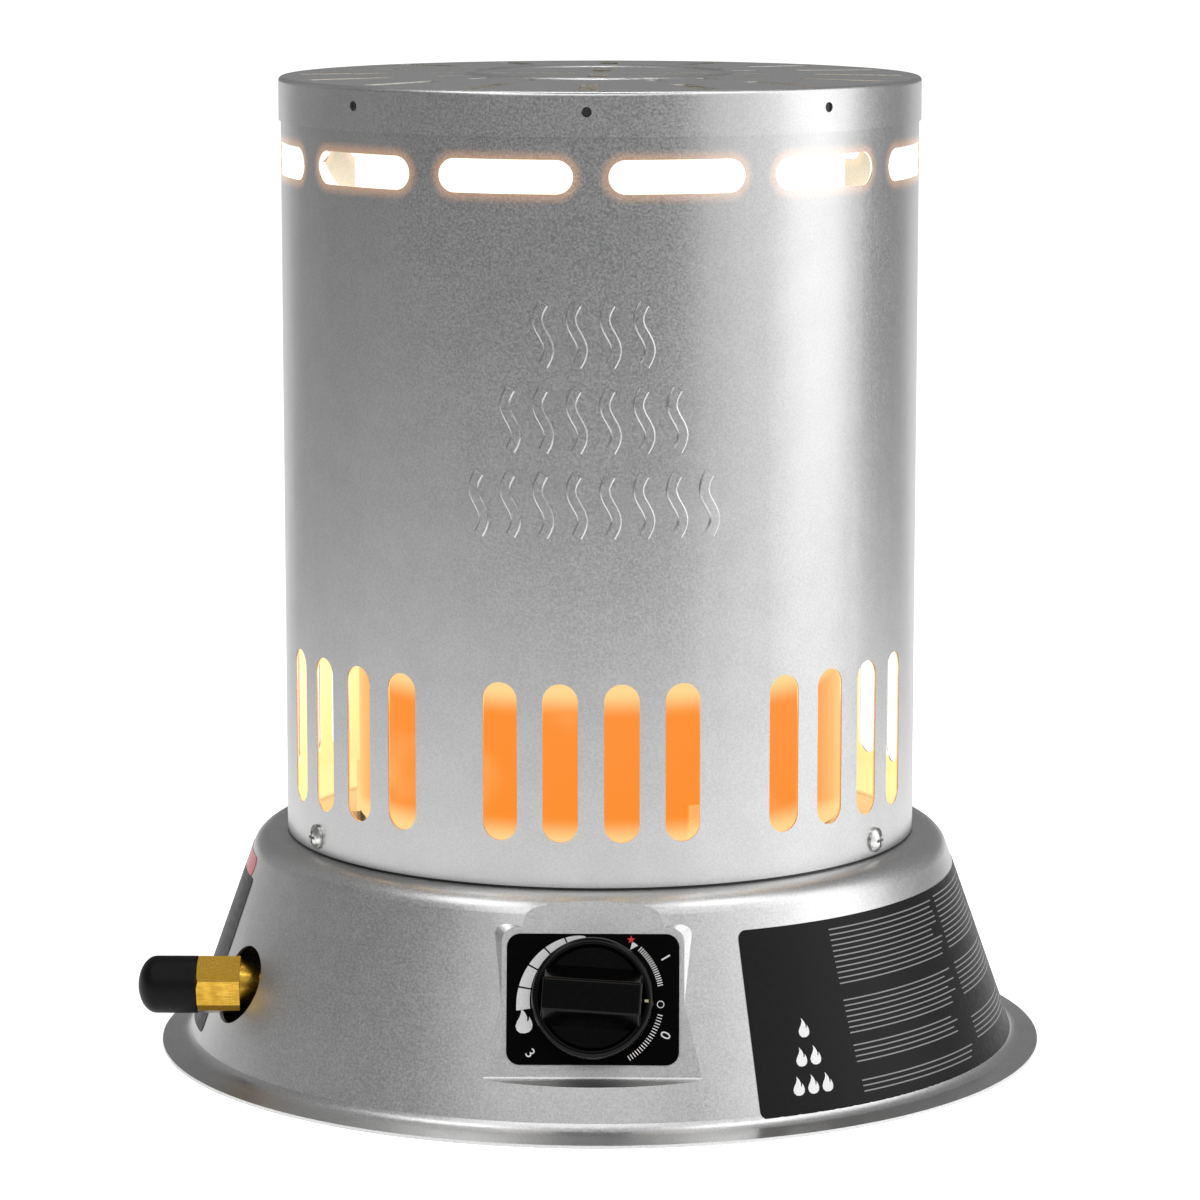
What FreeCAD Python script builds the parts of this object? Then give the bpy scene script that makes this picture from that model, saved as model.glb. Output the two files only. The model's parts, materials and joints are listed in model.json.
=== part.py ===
import FreeCAD, Part
import math
import os
from FreeCAD import Placement, Rotation, Vector

# Portable propane heater: a cone base on a foot ring, a slotted round shell and a slotted cap,
# with the burner, gas train, igniter and control knob that it needs to work.
# Millimetres, +Z up, floor at z = 0, knob towards -Y, gas inlet towards -X.
# An azimuth is counted in degrees from the front, positive towards +X.

# Sheets and clearances
BASE_SHEET = 1.0
SHELL_SHEET = 0.8
CAP_SHEET = 0.7
INNER_SHEET = 1.2
SEAT_GAP = 0.1
FIT_GAP = 0.05
MOVING_GAP = 0.3

# Shell
SHELL_RADIUS = 111.85
SHELL_LENGTH = 265.8
SHELL_TURN = -0.5
SLOT_GROUPS = 7
SLOTS_IN_GROUP = 4
SLOT_WIDTH = 12.0
SLOT_LENGTH = 54.0
SLOT_START = 16.2
SLOT_STEP = 10.65
HOT_SLOTS = 12
HOT_SLOT_ANGLE = 24.0
HOT_SLOT_HEIGHT = 11.3
HOT_SLOT_DROP = 26.5
SEAM_LAP = 11.0
SEAM_GROOVE = 0.5

# Cap
CAP_SKIRT = 15.0
CAP_GAP = 0.9
CAP_EDGE = 1.5
CAP_CROWN = 0.75
CAP_TURN = -1.2
BEAD_RADIUS = 45.2
BEAD_WIDTH = 4.4
BEAD_HEIGHT = 0.8
GRILLE_SLOT_WIDTH = 6.5
OUTER_SLOTS = 16
OUTER_SLOT_IN = 75.0
OUTER_SLOT_OUT = 105.5
MIDDLE_SLOT_IN = 50.5
MIDDLE_SLOT_OUT = 60.0
MIDDLE_SLOT_WIDTH = 4.5
CROSS_SLOTS = 4
CROSS_SLOT_IN = 8.5
CROSS_SLOT_OUT = 38.0
STAKE_HOLES = 8
STAKE_HOLE = 3.4
STAKE_HEIGHT = 8.3

# Base
BASE_HEIGHT = 76.9
LEDGE = 10.1
CONE_ANGLE = 19.5
SHOULDER_FILLET = 9.0
FOOT_HEIGHT = 3.0
FOOT_FILLET = 5.0
RING_WIDTH = 9.4
RING_EDGE = 1.1
RING_SEAT = 4.0
TAB_WIDTH = 20.0
TAB_HEIGHT = 14.0
AIR_HOLES = 8
AIR_HOLE = 14.0
AIR_CIRCLE = 52.0

# Screws
SCREW_SHANK = 3.9
SCREW_HEAD = 8.5
SCREW_HEAD_HEIGHT = 2.3
SCREW_LENGTH = 9.0
SCREW_HEIGHT = 6.2
SCREW_SPREAD = 120.0
SMALL_SCREW_SHANK = 3.0
SMALL_SCREW_HEAD = 6.0
SMALL_SCREW_HEAD_HEIGHT = 1.8
SMALL_SCREW_LENGTH = 5.0
CROSS_WIDTH = 1.1
CROSS_DEPTH = 1.2

# Control panel
PANEL_TILT = 16.8
PANEL_FOOT = 18.1
PANEL_DEPTH = 4.8
PANEL_HALF_WIDTH = 30.5
PANEL_HEIGHT = 51.0
PANEL_CORNER = 5.0
PANEL_FLARE = 9.0
PANEL_FLARE_DEPTH = 7.0
PANEL_SILL = 5.5
PANEL_SILL_RUN = 10.0
PANEL_BEND = 2.0
PLATE_WIDTH = 57.6
PLATE_HEIGHT = 43.7
PLATE_CORNER = 4.5
PLATE_THICKNESS = 0.6
KNOB_UP = 26.9

# Knob
KNOB_RADIUS = 20.4
KNOB_RIM_RADIUS = 19.9
KNOB_SKIRT = 9.0
KNOB_ROUND = 1.5
KNOB_WALL = 3.0
KNOB_DISH_RADIUS = 16.6
KNOB_DISH = 2.4
KNOB_FLOOR = 2.2
KNOB_TRAVEL = 3.0
KNOB_TILT = -3.5
GRIP_LENGTH = 33.8
GRIP_FOOT = 20.5
GRIP_FACE = 10.6
GRIP_RISE = 8.2
GRIP_ROUND = 1.1

# Gas valve
NECK_RADIUS = 6.0
NECK_REACH = 5.5
NUT_FLATS = 17.0
NUT_HEIGHT = 3.0
STEM_RADIUS = 4.0
STEM_TOP_RADIUS = 3.0
STEM_FLAT = 6.0
STEM_COLLAR = 6.0
STEM_COLLAR_HEIGHT = 2.2
VALVE_COLLAR = 12.0
VALVE_COLLAR_HEIGHT = 4.0
VALVE_SIZE = 26.0
VALVE_LENGTH = 34.0
VALVE_CORNER = 3.0
VALVE_FRONT_WALL = 3.0
SPRING_LENGTH = 10.0
SPRING_RADIUS = 5.4
SPRING_WIRE = 1.2
SPRING_TURNS = 4
SPRING_ARCS = 6
PLUG_RADIUS = 8.0
PLUG_LENGTH = 14.0
PLUG_SOCKET = 11.0
STEM_TAIL = 7.0
MAGNET_RADIUS = 8.5
MAGNET_LENGTH = 15.0
PORT_RADIUS = 7.0
PORT_LENGTH = 5.0
NIPPLE_RADIUS = 5.0
NIPPLE_LENGTH = 6.0
PIEZO_WIDTH = 15.0
PIEZO_HEIGHT = 14.0
PIEZO_LENGTH = 26.0
PIEZO_PIN = 2.2
PIEZO_PIN_LENGTH = 4.0

# Gas inlet
INLET_FORWARD = 58.5
INLET_HEIGHT = 31.0
INLET_HOLE = 13.5
HEX_FLATS = 19.0
HEX_LENGTH = 15.0
HEX_INSET = 1.2
HEX_TURN = 12.0
HEX_CHAMFER = 1.0
FLARE_RADIUS = 7.95
FLARE_LENGTH = 15.0
FLARE_NOSE = 3.0
FLARE_BORE = 3.2
TAPER_RADIUS = 8.6
TAPER_END = 5.6
TAPER_LENGTH = 8.0
COLLAR_RADIUS = 8.0
COLLAR_LENGTH = 2.5
SHANK_RADIUS = 6.0
SHANK_LENGTH = 12.0
LOCKNUT_FLATS = 17.0
LOCKNUT_LENGTH = 4.0
CUP_HALF = 15.5
CAP_PLUG_RADIUS = 10.0
CAP_PLUG_END = 6.0
CAP_PLUG_ROUND = 2.6

# Tubes and leads
TUBE_RADIUS = 4.0
TUBE_BEND = 13.0
TUBE_NUT_FLATS = 14.0
TUBE_NUT_LENGTH = 12.0
TUBE_SIDE_RUN = 34.0
LEAD_RADIUS = 1.5
SENSOR_LEAD_RADIUS = 1.1
LEAD_BEND = 7.0
LEAD_DROP = 22.0

# Burner
ORIFICE_HEIGHT = 21.5
ELBOW_RADIUS = 7.0
ELBOW_PORT = 18.0
WEB_HEIGHT = 30.0
WEB_HALF_SPAN = 40.0
WEB_WIDTH = 26.0
BRACKET_FLANGE = 15.0
NOZZLE_RADIUS = 5.0
NOZZLE_LENGTH = 9.0
NOZZLE_TIP = 2.0
NOZZLE_SHANK = 4.0
VENTURI_RADIUS = 14.0
VENTURI_GAP = 4.0
VENTURI_BELL = 19.0
VENTURI_BELL_LENGTH = 9.0
VENTURI_FLANGE = 26.0
VENTURI_RISE = 20.0
VENTURI_SCREWS = 21.5
HEAD_RADIUS = 46.0
HEAD_NECK = 9.0
HEAD_FLARE = 14.0
HEAD_RIM = 11.0
PORT_PLATE_DROP = 4.0
BURNER_PORTS = 14
BURNER_PORT = 5.0
BURNER_PORT_CIRCLE = 30.0
SPREADER_RADIUS = 54.0
SPREADER_RISE = 6.0
POST_RADIUS = 2.0
POST_HEIGHT = 28.0
POST_CIRCLE = 38.0
POSTS = 3
SHIELD_RADIUS = 58.0
SHIELD_RISE = 5.0
SHIELD_RUN = 8.0

# Probes beside the burner
PROBE_CIRCLE = 66.0
PROBE_AZIMUTH = 45.0
PROBE_GRIP = 18.0
CERAMIC_RADIUS = 3.6
CERAMIC_LENGTH = 34.0
ELECTRODE_RADIUS = 1.1
ELECTRODE_RISE = 9.0
ELECTRODE_REACH = 14.0
SENSOR_RADIUS = 3.0
SENSOR_LENGTH = 40.0
CLIP_WIDTH = 12.0
CLIP_STAND = 9.0
CLIP_FOOT = 10.0

# Combustion liner
LINER_RADIUS = 86.0
LINER_LIFT = 7.0
LINER_TOP_GAP = 17.0
LINER_FEET = 3
LINER_FOOT_WIDTH = 14.0
LINER_FOOT_HEIGHT = 16.0
LINER_FOOT_REACH = 12.0
LINER_TURN = 26.0
SPACER_WIDTH = 12.0
SPACER_HEIGHT = 10.0
SPACER_DROP = 44.0

# Derived places
CONE_SLOPE = math.tan(math.radians(CONE_ANGLE))
SHOULDER_RADIUS = SHELL_RADIUS + LEDGE
CONE_FOOT_RADIUS = SHOULDER_RADIUS + (BASE_HEIGHT - FOOT_HEIGHT) * CONE_SLOPE
RING_RADIUS = CONE_FOOT_RADIUS + RING_WIDTH
SHELL_BOTTOM = BASE_HEIGHT
SHELL_TOP = SHELL_BOTTOM + SHELL_LENGTH
SHELL_INSIDE = SHELL_RADIUS - SHELL_SHEET
CAP_TOP = SHELL_TOP + CAP_GAP + CAP_SHEET
CAP_INSIDE = SHELL_RADIUS + FIT_GAP
CAP_RADIUS = CAP_INSIDE + CAP_SHEET
STAKE_Z = CAP_TOP - CAP_SKIRT + STAKE_HEIGHT
TAB_RADIUS = SHELL_INSIDE - SEAT_GAP
SCREW_Z = SHELL_BOTTOM + SCREW_HEIGHT
UP = Vector(0, 0, 1)


def cone_radius(height):
    return CONE_FOOT_RADIUS - (height - FOOT_HEIGHT) * CONE_SLOPE


PANEL_Y = PANEL_DEPTH - cone_radius(PANEL_FOOT)
PANEL = Placement(Vector(0, PANEL_Y, PANEL_FOOT), Rotation(Vector(1, 0, 0), 90 - PANEL_TILT))
KNOB_CENTRE = PANEL.multVec(Vector(0, KNOB_UP, 0))
KNOB = Placement(KNOB_CENTRE, PANEL.Rotation)
WALL_X = -math.sqrt(cone_radius(INLET_HEIGHT) ** 2 - INLET_FORWARD ** 2)
HEX_END_X = WALL_X + HEX_INSET
HEX_FRONT_X = HEX_END_X - HEX_LENGTH
CUP_BACK_X = HEX_END_X + TAPER_LENGTH + COLLAR_LENGTH
INLET = Placement(Vector(0, -INLET_FORWARD, INLET_HEIGHT), Rotation(Vector(0, 1, 0), 90))

# Depths below the panel's face, along the knob's axis
VALVE_FRONT = -BASE_SHEET
CHAMBER_FRONT = VALVE_FRONT - VALVE_COLLAR_HEIGHT - VALVE_FRONT_WALL
STEM_COLLAR_BACK = CHAMBER_FRONT - MOVING_GAP - STEM_COLLAR_HEIGHT
PLUG_FRONT = STEM_COLLAR_BACK - SPRING_LENGTH
PLUG_BACK = PLUG_FRONT - PLUG_LENGTH
VALVE_BACK = VALVE_FRONT - VALVE_COLLAR_HEIGHT - VALVE_LENGTH
PORT_DEPTH = PLUG_FRONT - PLUG_LENGTH / 2
KNOB_BACK = PLATE_THICKNESS + KNOB_TRAVEL + 2 * MOVING_GAP
HOLLOW_CEILING = NECK_REACH + KNOB_TRAVEL + 2 * MOVING_GAP
PIEZO_CENTRE = VALVE_SIZE / 2 + PIEZO_HEIGHT / 2
PIEZO_BACK = VALVE_FRONT - VALVE_COLLAR_HEIGHT - PIEZO_LENGTH

# Heights of the burner stack
DECK_UNDER = BASE_HEIGHT - BASE_SHEET
VENTURI_TOP = BASE_HEIGHT + VENTURI_RISE
NOZZLE_TOP = WEB_HEIGHT + INNER_SHEET + NOZZLE_LENGTH
VENTURI_MOUTH = NOZZLE_TOP + VENTURI_GAP
HEAD_BOTTOM = VENTURI_TOP - HEAD_NECK
BOWL_TOP = VENTURI_TOP + HEAD_FLARE
HEAD_TOP = BOWL_TOP + HEAD_RIM
PORT_PLATE_TOP = HEAD_TOP - PORT_PLATE_DROP
SPREADER_BOTTOM = PORT_PLATE_TOP + POST_HEIGHT
LINER_BOTTOM = BASE_HEIGHT + LINER_LIFT
LINER_TOP = CAP_TOP - CAP_SHEET - LINER_TOP_GAP
GRIP_HEIGHT = BASE_HEIGHT + PROBE_GRIP


def save(name, shape):
    shape.exportStep("parts/" + name + ".step")


def turned(shape, azimuth):
    copy = shape.copy()
    copy.rotate(Vector(0, 0, 0), UP, azimuth)
    return copy


def ring_of(shape, count, start=0.0):
    return [turned(shape, start + i * 360.0 / count) for i in range(count)]


def placed(shape, placement):
    copy = shape.copy()
    copy.Placement = placement.multiply(copy.Placement)
    return copy


def revolved(edges_or_points):
    if isinstance(edges_or_points[0], tuple):
        points = [Vector(r, 0, z) for r, z in edges_or_points]
        wire = Part.makePolygon(points + points[:1])
    else:
        wire = Part.Wire(edges_or_points)
    return Part.Face(wire).revolve(Vector(0, 0, 0), UP, 360)


def rod(radius, bottom, top):
    return Part.makeCylinder(radius, top - bottom, Vector(0, 0, bottom))


def tube(outer, inner, bottom, top):
    return rod(outer, bottom, top).cut(rod(inner, bottom - 1, top + 1))


def hexagon(flats, bottom, top):
    corner = flats / math.sqrt(3)
    points = [Vector(corner * math.cos(math.pi * k / 3), corner * math.sin(math.pi * k / 3), bottom)
              for k in range(7)]
    return Part.Face(Part.makePolygon(points)).extrude(Vector(0, 0, top - bottom))


def block(x0, x1, y0, y1, z0, z1):
    return Part.makeBox(x1 - x0, y1 - y0, z1 - z0, Vector(x0, y0, z0))


def rounded_plate(width, height, corner, bottom, top):
    x = width / 2
    y = height / 2
    plate = block(-x, x, -y, y, bottom, top)
    uprights = [e for e in plate.Edges if abs(e.Vertexes[0].Z - e.Vertexes[1].Z) > 1e-6]
    return plate.makeFillet(corner, uprights)


def slot_prism(width, height, reach):
    # A round-ended slot facing -Y, from y = 0 out to y = -reach, its longer way along Z or X.
    radius = min(width, height) / 2
    straight_x = width / 2 - radius
    straight_z = height / 2 - radius
    along = Vector(0, -reach, 0)
    ends = [Vector(-straight_x, 0, -straight_z), Vector(straight_x, 0, straight_z)]
    solids = [Part.makeCylinder(radius, reach, end, along) for end in ends]
    if straight_x > straight_z:
        solids.append(block(-straight_x, straight_x, -reach, 0, -radius, radius))
    else:
        solids.append(block(-radius, radius, -reach, 0, -straight_z, straight_z))
    return solids[0].multiFuse(solids[1:]).removeSplitter()


def bent_path(points, radius):
    # Straight runs joined by tangent arcs of one radius, made smaller where a run is short.
    edges = []
    start = points[0]
    for before, corner, after in zip(points, points[1:], points[2:]):
        back = (before - corner).normalize()
        ahead = (after - corner).normalize()
        turn = math.pi - back.getAngle(ahead)
        room = 0.45 * min((before - corner).Length, (after - corner).Length)
        setback = min(radius * math.tan(turn / 2), room)
        fitted = setback / math.tan(turn / 2)
        first = corner + back * setback
        last = corner + ahead * setback
        inward = (back + ahead).normalize()
        centre_distance = math.hypot(setback, fitted)
        middle = corner + inward * (centre_distance - fitted)
        edges.append(Part.LineSegment(start, first).toShape())
        edges.append(Part.Arc(first, middle, last).toShape())
        start = last
    edges.append(Part.LineSegment(start, points[-1]).toShape())
    return Part.Wire(edges)


def round_bar(points, radius, bend):
    path = bent_path(points, bend)
    direction = points[1] - points[0]
    circle = Part.Wire([Part.makeCircle(radius, points[0], direction)])
    return path.makePipeShell([circle], True, False)


def pan_screw(shank, head, head_height, length):
    # The head's seat is at z = 0, its dome rises along +Z and the shank goes down.
    rim = head_height * 0.35
    arc = Part.Arc(Vector(head / 2, 0, rim), Vector(head * 0.32, 0, head_height * 0.86),
                   Vector(0, 0, head_height))
    edges = [Part.LineSegment(Vector(0, 0, -length), Vector(shank / 2, 0, -length)).toShape(),
             Part.LineSegment(Vector(shank / 2, 0, -length), Vector(shank / 2, 0, 0)).toShape(),
             Part.LineSegment(Vector(shank / 2, 0, 0), Vector(head / 2, 0, 0)).toShape(),
             Part.LineSegment(Vector(head / 2, 0, 0), Vector(head / 2, 0, rim)).toShape(),
             arc.toShape(),
             Part.LineSegment(Vector(0, 0, head_height), Vector(0, 0, -length)).toShape()]
    arm = head * 0.27
    floor = head_height - CROSS_DEPTH
    half = CROSS_WIDTH / 2
    cross = block(-arm, arm, -half, half, floor, head_height + 1)
    cross = cross.fuse(block(-half, half, -arm, arm, floor, head_height + 1))
    return revolved(edges).cut(cross)


def base_body(inset):
    # The base's outer form, pulled in by the sheet's thickness to give its inside.
    top = BASE_HEIGHT - inset
    side = inset / math.cos(math.radians(CONE_ANGLE))
    shoulder = SHOULDER_RADIUS + inset * CONE_SLOPE - side
    foot_z = FOOT_HEIGHT - inset
    foot = CONE_FOOT_RADIUS + inset * CONE_SLOPE - side
    edge_z = RING_EDGE + RING_SEAT / RING_WIDTH * (FOOT_HEIGHT - RING_EDGE) - inset
    if inset:
        seat_r = RING_RADIUS - RING_SEAT
        outline = [(0, 0), (seat_r, 0), (seat_r, edge_z), (foot, foot_z), (shoulder, top), (0, top)]
    else:
        outline = [(0, 0), (RING_RADIUS, 0), (RING_RADIUS, RING_EDGE), (foot, foot_z),
                   (shoulder, top), (0, top)]
    body = revolved(outline)
    rounds = {top: (shoulder, SHOULDER_FILLET - inset), foot_z: (foot, FOOT_FILLET + inset)}
    for height, (radius, fillet) in rounds.items():
        edges = [e for e in body.Edges if isinstance(e.Curve, Part.Circle)
                 and abs(e.Curve.Radius - radius) < 1e-3 and abs(e.Curve.Center.z - height) < 1e-3]
        body = body.makeFillet(fillet, edges)
    return panelled(body, inset)


def panel_section(half_width, low, high, corner, depth):
    plate = rounded_plate(2 * half_width, high - low, corner, depth - 0.5, depth)
    plate.translate(Vector(0, (low + high) / 2, 0))
    face = max(plate.Faces, key=lambda f: f.CenterOfMass.z)
    return face.OuterWire


def panelled(body, inset):
    # The flat control panel: a flared pad under its face, and all in front of it pressed back.
    face = -inset
    low = -inset
    wide = PANEL_HALF_WIDTH - inset
    front = panel_section(wide, low, PANEL_HEIGHT, PANEL_CORNER, face)
    back = panel_section(wide + PANEL_FLARE, low, PANEL_HEIGHT + PANEL_FLARE,
                         PANEL_CORNER, face - PANEL_FLARE_DEPTH)
    pad = placed(Part.makeLoft([back, front], True, True), PANEL)
    reach = 2 * PANEL_HALF_WIDTH
    outline = [Vector(-reach, low, face), Vector(-reach, low - PANEL_SILL, face + PANEL_SILL_RUN),
               Vector(-reach, 2 * PANEL_HEIGHT, face + PANEL_SILL_RUN), Vector(-reach, 2 * PANEL_HEIGHT, face)]
    press = Part.Face(Part.makePolygon(outline + outline[:1])).extrude(Vector(2 * reach, 0, 0))
    sill = [e for e in press.Edges if all(abs(v.Y - low) < 1e-6 and abs(v.Z - face) < 1e-6 for v in e.Vertexes)]
    press = placed(press.makeFillet(PANEL_BEND, sill), PANEL)
    return body.fuse(pad).cut(press)


def screw_azimuths():
    return [SHELL_TURN - SCREW_SPREAD / 2, SHELL_TURN + SCREW_SPREAD / 2, SHELL_TURN + 180]


def base_housing():
    housing = base_body(0).cut(base_body(BASE_SHEET))
    for azimuth in screw_azimuths():
        housing = housing.fuse(turned(screw_tab(), azimuth)).cut(turned(tab_window(), azimuth))
    cuts = [placed(rod(NECK_RADIUS + SEAT_GAP, -20, 20), KNOB), inlet_opening()]
    cuts += ring_of(rod(AIR_HOLE / 2, DECK_UNDER - 1, BASE_HEIGHT + 1).translate(Vector(0, -AIR_CIRCLE, 0)),
                    AIR_HOLES, 360 / AIR_HOLES / 2)
    cuts.append(rod(VENTURI_RADIUS + SEAT_GAP, DECK_UNDER - 1, BASE_HEIGHT + 1))
    cuts += [turned(small_hole(VENTURI_SCREWS), a) for a in (-90, 90)]
    cuts += [turned(small_hole(bracket_screw_radius()), a) for a in (-90, 90)]
    lead_hole = rod(CERAMIC_RADIUS, DECK_UNDER - 1, BASE_HEIGHT + 1).translate(Vector(0, -PROBE_CIRCLE, 0))
    cuts += [turned(lead_hole, a) for a in (-PROBE_AZIMUTH, PROBE_AZIMUTH)]
    for cut in cuts:
        housing = housing.cut(cut)
    return housing


def small_hole(radius):
    hole = rod(SMALL_SCREW_SHANK / 2 + FIT_GAP, DECK_UNDER - 1, BASE_HEIGHT + 1)
    return hole.translate(Vector(0, -radius, 0))


def bracket_screw_radius():
    return WEB_HALF_SPAN + BRACKET_FLANGE / 2


def inlet_opening():
    return placed(Part.makeCylinder(INLET_HOLE, RING_RADIUS, Vector(0, 0, -RING_RADIUS)), INLET)


def screw_tab():
    # A lug lanced up from the deck and curved to the shell, drilled for its screw.
    ring = tube(TAB_RADIUS, TAB_RADIUS - BASE_SHEET, DECK_UNDER, BASE_HEIGHT + TAB_HEIGHT)
    tab = ring.common(block(-TAB_WIDTH / 2, TAB_WIDTH / 2, -SHELL_RADIUS, 0, 0, SHELL_TOP))
    return tab.cut(screw_hole())


def tab_window():
    inner = TAB_RADIUS - BASE_SHEET - TAB_HEIGHT
    outer = TAB_RADIUS - BASE_SHEET
    window = block(-TAB_WIDTH / 2, TAB_WIDTH / 2, -outer, -inner, DECK_UNDER - 1, BASE_HEIGHT + 1)
    return window.common(rod(outer, 0, SHELL_TOP))


def screw_hole():
    return Part.makeCylinder(SCREW_SHANK / 2 + FIT_GAP, SHELL_RADIUS, Vector(0, 0, SCREW_Z), Vector(0, -1, 0))


def shell_seam():
    ring = tube(SHELL_INSIDE, SHELL_INSIDE - SHELL_SHEET, SHELL_BOTTOM + TAB_HEIGHT + BASE_SHEET, SHELL_TOP)
    return ring.common(block(-SEAM_LAP / 2, SEAM_LAP / 2, 0, SHELL_RADIUS, 0, SHELL_TOP))


def outer_shell():
    shell = tube(SHELL_RADIUS, SHELL_INSIDE, SHELL_BOTTOM, SHELL_TOP).fuse(shell_seam())
    low_slot = slot_prism(SLOT_WIDTH, SLOT_LENGTH, 2 * SHELL_RADIUS)
    low_slot.translate(Vector(0, 0, SHELL_BOTTOM + SLOT_START + SLOT_LENGTH / 2))
    middle = (SLOTS_IN_GROUP - 1) / 2
    cuts = []
    for group in range(SLOT_GROUPS):
        centre = SHELL_TURN + group * 360.0 / SLOT_GROUPS
        cuts += [turned(low_slot, centre + (i - middle) * SLOT_STEP) for i in range(SLOTS_IN_GROUP)]
    hot_width = 2 * SHELL_RADIUS * math.sin(math.radians(HOT_SLOT_ANGLE / 2))
    hot_slot = slot_prism(hot_width, HOT_SLOT_HEIGHT, 2 * SHELL_RADIUS)
    hot_slot.translate(Vector(0, 0, SHELL_TOP - HOT_SLOT_DROP))
    cuts += ring_of(hot_slot, HOT_SLOTS, SHELL_TURN - 180 / HOT_SLOTS)
    cuts += [turned(screw_hole(), azimuth) for azimuth in screw_azimuths()]
    cuts += stake_holes()
    half = SEAM_GROOVE / 2
    cuts.append(block(-half, half, SHELL_RADIUS - half, SHELL_RADIUS + 1, SHELL_BOTTOM - 1, SHELL_TOP + 1))
    return shell.cut(cuts)


def stake_holes():
    hole = Part.makeCylinder(STAKE_HOLE / 2, 2 * SHELL_RADIUS, Vector(0, 0, STAKE_Z), Vector(0, -1, 0))
    return ring_of(hole, STAKE_HOLES, CAP_TURN)


def shell_screws():
    screw = pan_screw(SCREW_SHANK, SCREW_HEAD, SCREW_HEAD_HEIGHT, SCREW_LENGTH)
    facing = Placement(Vector(0, -SHELL_RADIUS, SCREW_Z), Rotation(Vector(1, 0, 0), 90))
    screw = placed(screw, facing)
    return Part.makeCompound([turned(screw, azimuth) for azimuth in screw_azimuths()])


def crown(radius):
    # Height of the cap's face over its edge, rising evenly to the bead.
    flat = CAP_RADIUS - CAP_EDGE
    rise = CAP_CROWN / (flat - BEAD_RADIUS)
    return CAP_TOP + (flat - radius) * rise


def cap_edges(drop, radius, corner):
    flat = radius - corner
    low = BEAD_RADIUS - BEAD_WIDTH / 2
    high = BEAD_RADIUS + BEAD_WIDTH / 2
    edge_z = crown(CAP_RADIUS - CAP_EDGE) - drop
    centre_z = crown(low) - drop
    bead = Vector(BEAD_RADIUS, 0, crown(BEAD_RADIUS) + BEAD_HEIGHT - drop)
    skirt_z = CAP_TOP - CAP_SKIRT
    diagonal = corner * (1 - math.sqrt(0.5))
    return [Part.LineSegment(Vector(0, 0, centre_z), Vector(low, 0, centre_z)).toShape(),
            Part.Arc(Vector(low, 0, centre_z), bead, Vector(high, 0, crown(high) - drop)).toShape(),
            Part.LineSegment(Vector(high, 0, crown(high) - drop), Vector(flat, 0, edge_z)).toShape(),
            Part.Arc(Vector(flat, 0, edge_z), Vector(radius - diagonal, 0, edge_z - diagonal),
                     Vector(radius, 0, edge_z - corner)).toShape(),
            Part.LineSegment(Vector(radius, 0, edge_z - corner), Vector(radius, 0, skirt_z)).toShape()]


def top_grille():
    outer = cap_edges(0, CAP_RADIUS, CAP_EDGE)
    inner = cap_edges(CAP_SHEET, CAP_INSIDE, CAP_EDGE - CAP_SHEET)
    skirt_z = CAP_TOP - CAP_SKIRT
    rim = Part.LineSegment(Vector(CAP_RADIUS, 0, skirt_z), Vector(CAP_INSIDE, 0, skirt_z)).toShape()
    centre_z = crown(BEAD_RADIUS - BEAD_WIDTH / 2)
    axis = Part.LineSegment(Vector(0, 0, centre_z - CAP_SHEET), Vector(0, 0, centre_z)).toShape()
    cap = revolved(outer + [rim] + inner[::-1] + [axis])
    cuts = ring_of(radial_slot(OUTER_SLOT_IN, OUTER_SLOT_OUT, GRILLE_SLOT_WIDTH), OUTER_SLOTS, CAP_TURN)
    middle = ring_of(radial_slot(MIDDLE_SLOT_IN, MIDDLE_SLOT_OUT, MIDDLE_SLOT_WIDTH), OUTER_SLOTS, CAP_TURN)
    cuts += [slot for i, slot in enumerate(middle) if i % (OUTER_SLOTS // 2)]
    cuts += ring_of(radial_slot(CROSS_SLOT_IN, CROSS_SLOT_OUT, GRILLE_SLOT_WIDTH), CROSS_SLOTS, CAP_TURN)
    return cap.cut(cuts + stake_holes())


def radial_slot(inner, outer, width):
    return block(-width / 2, width / 2, -outer, -inner, CAP_TOP - CAP_SKIRT, CAP_TOP + CAP_SKIRT)


def control_plate():
    plate = rounded_plate(PLATE_WIDTH, PLATE_HEIGHT, PLATE_CORNER, 0, PLATE_THICKNESS)
    return placed(plate.cut(rod(NECK_RADIUS + SEAT_GAP, -1, PLATE_THICKNESS + 1)), KNOB)


def knob_skirt():
    rim = KNOB_BACK + KNOB_SKIRT
    ceiling = HOLLOW_CEILING
    dish = rim - KNOB_DISH
    ring_inner = KNOB_DISH_RADIUS + KNOB_DISH * 0.5
    outline = [(0, ceiling), (KNOB_RADIUS - KNOB_WALL, ceiling), (KNOB_RADIUS - KNOB_WALL, KNOB_BACK),
               (KNOB_RADIUS, KNOB_BACK), (KNOB_RIM_RADIUS, rim), (ring_inner, rim),
               (KNOB_DISH_RADIUS, dish), (0, dish)]
    skirt = revolved(outline)
    edges = [e for e in skirt.Edges if isinstance(e.Curve, Part.Circle)
             and abs(e.Curve.Radius - KNOB_RIM_RADIUS) < 1e-3]
    skirt = skirt.makeFillet(KNOB_ROUND, edges)
    inner = [e for e in skirt.Edges if isinstance(e.Curve, Part.Circle)
             and abs(e.Curve.Radius - ring_inner) < 1e-3 and abs(e.Curve.Center.z - rim) < 1e-3]
    return skirt.makeFillet(KNOB_ROUND / 4, inner)


def grip_section(length, width, height):
    points = [Vector(-length / 2, -width / 2, height), Vector(length / 2, -width / 2, height),
              Vector(length / 2, width / 2, height), Vector(-length / 2, width / 2, height)]
    return Part.makePolygon(points + points[:1])


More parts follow.
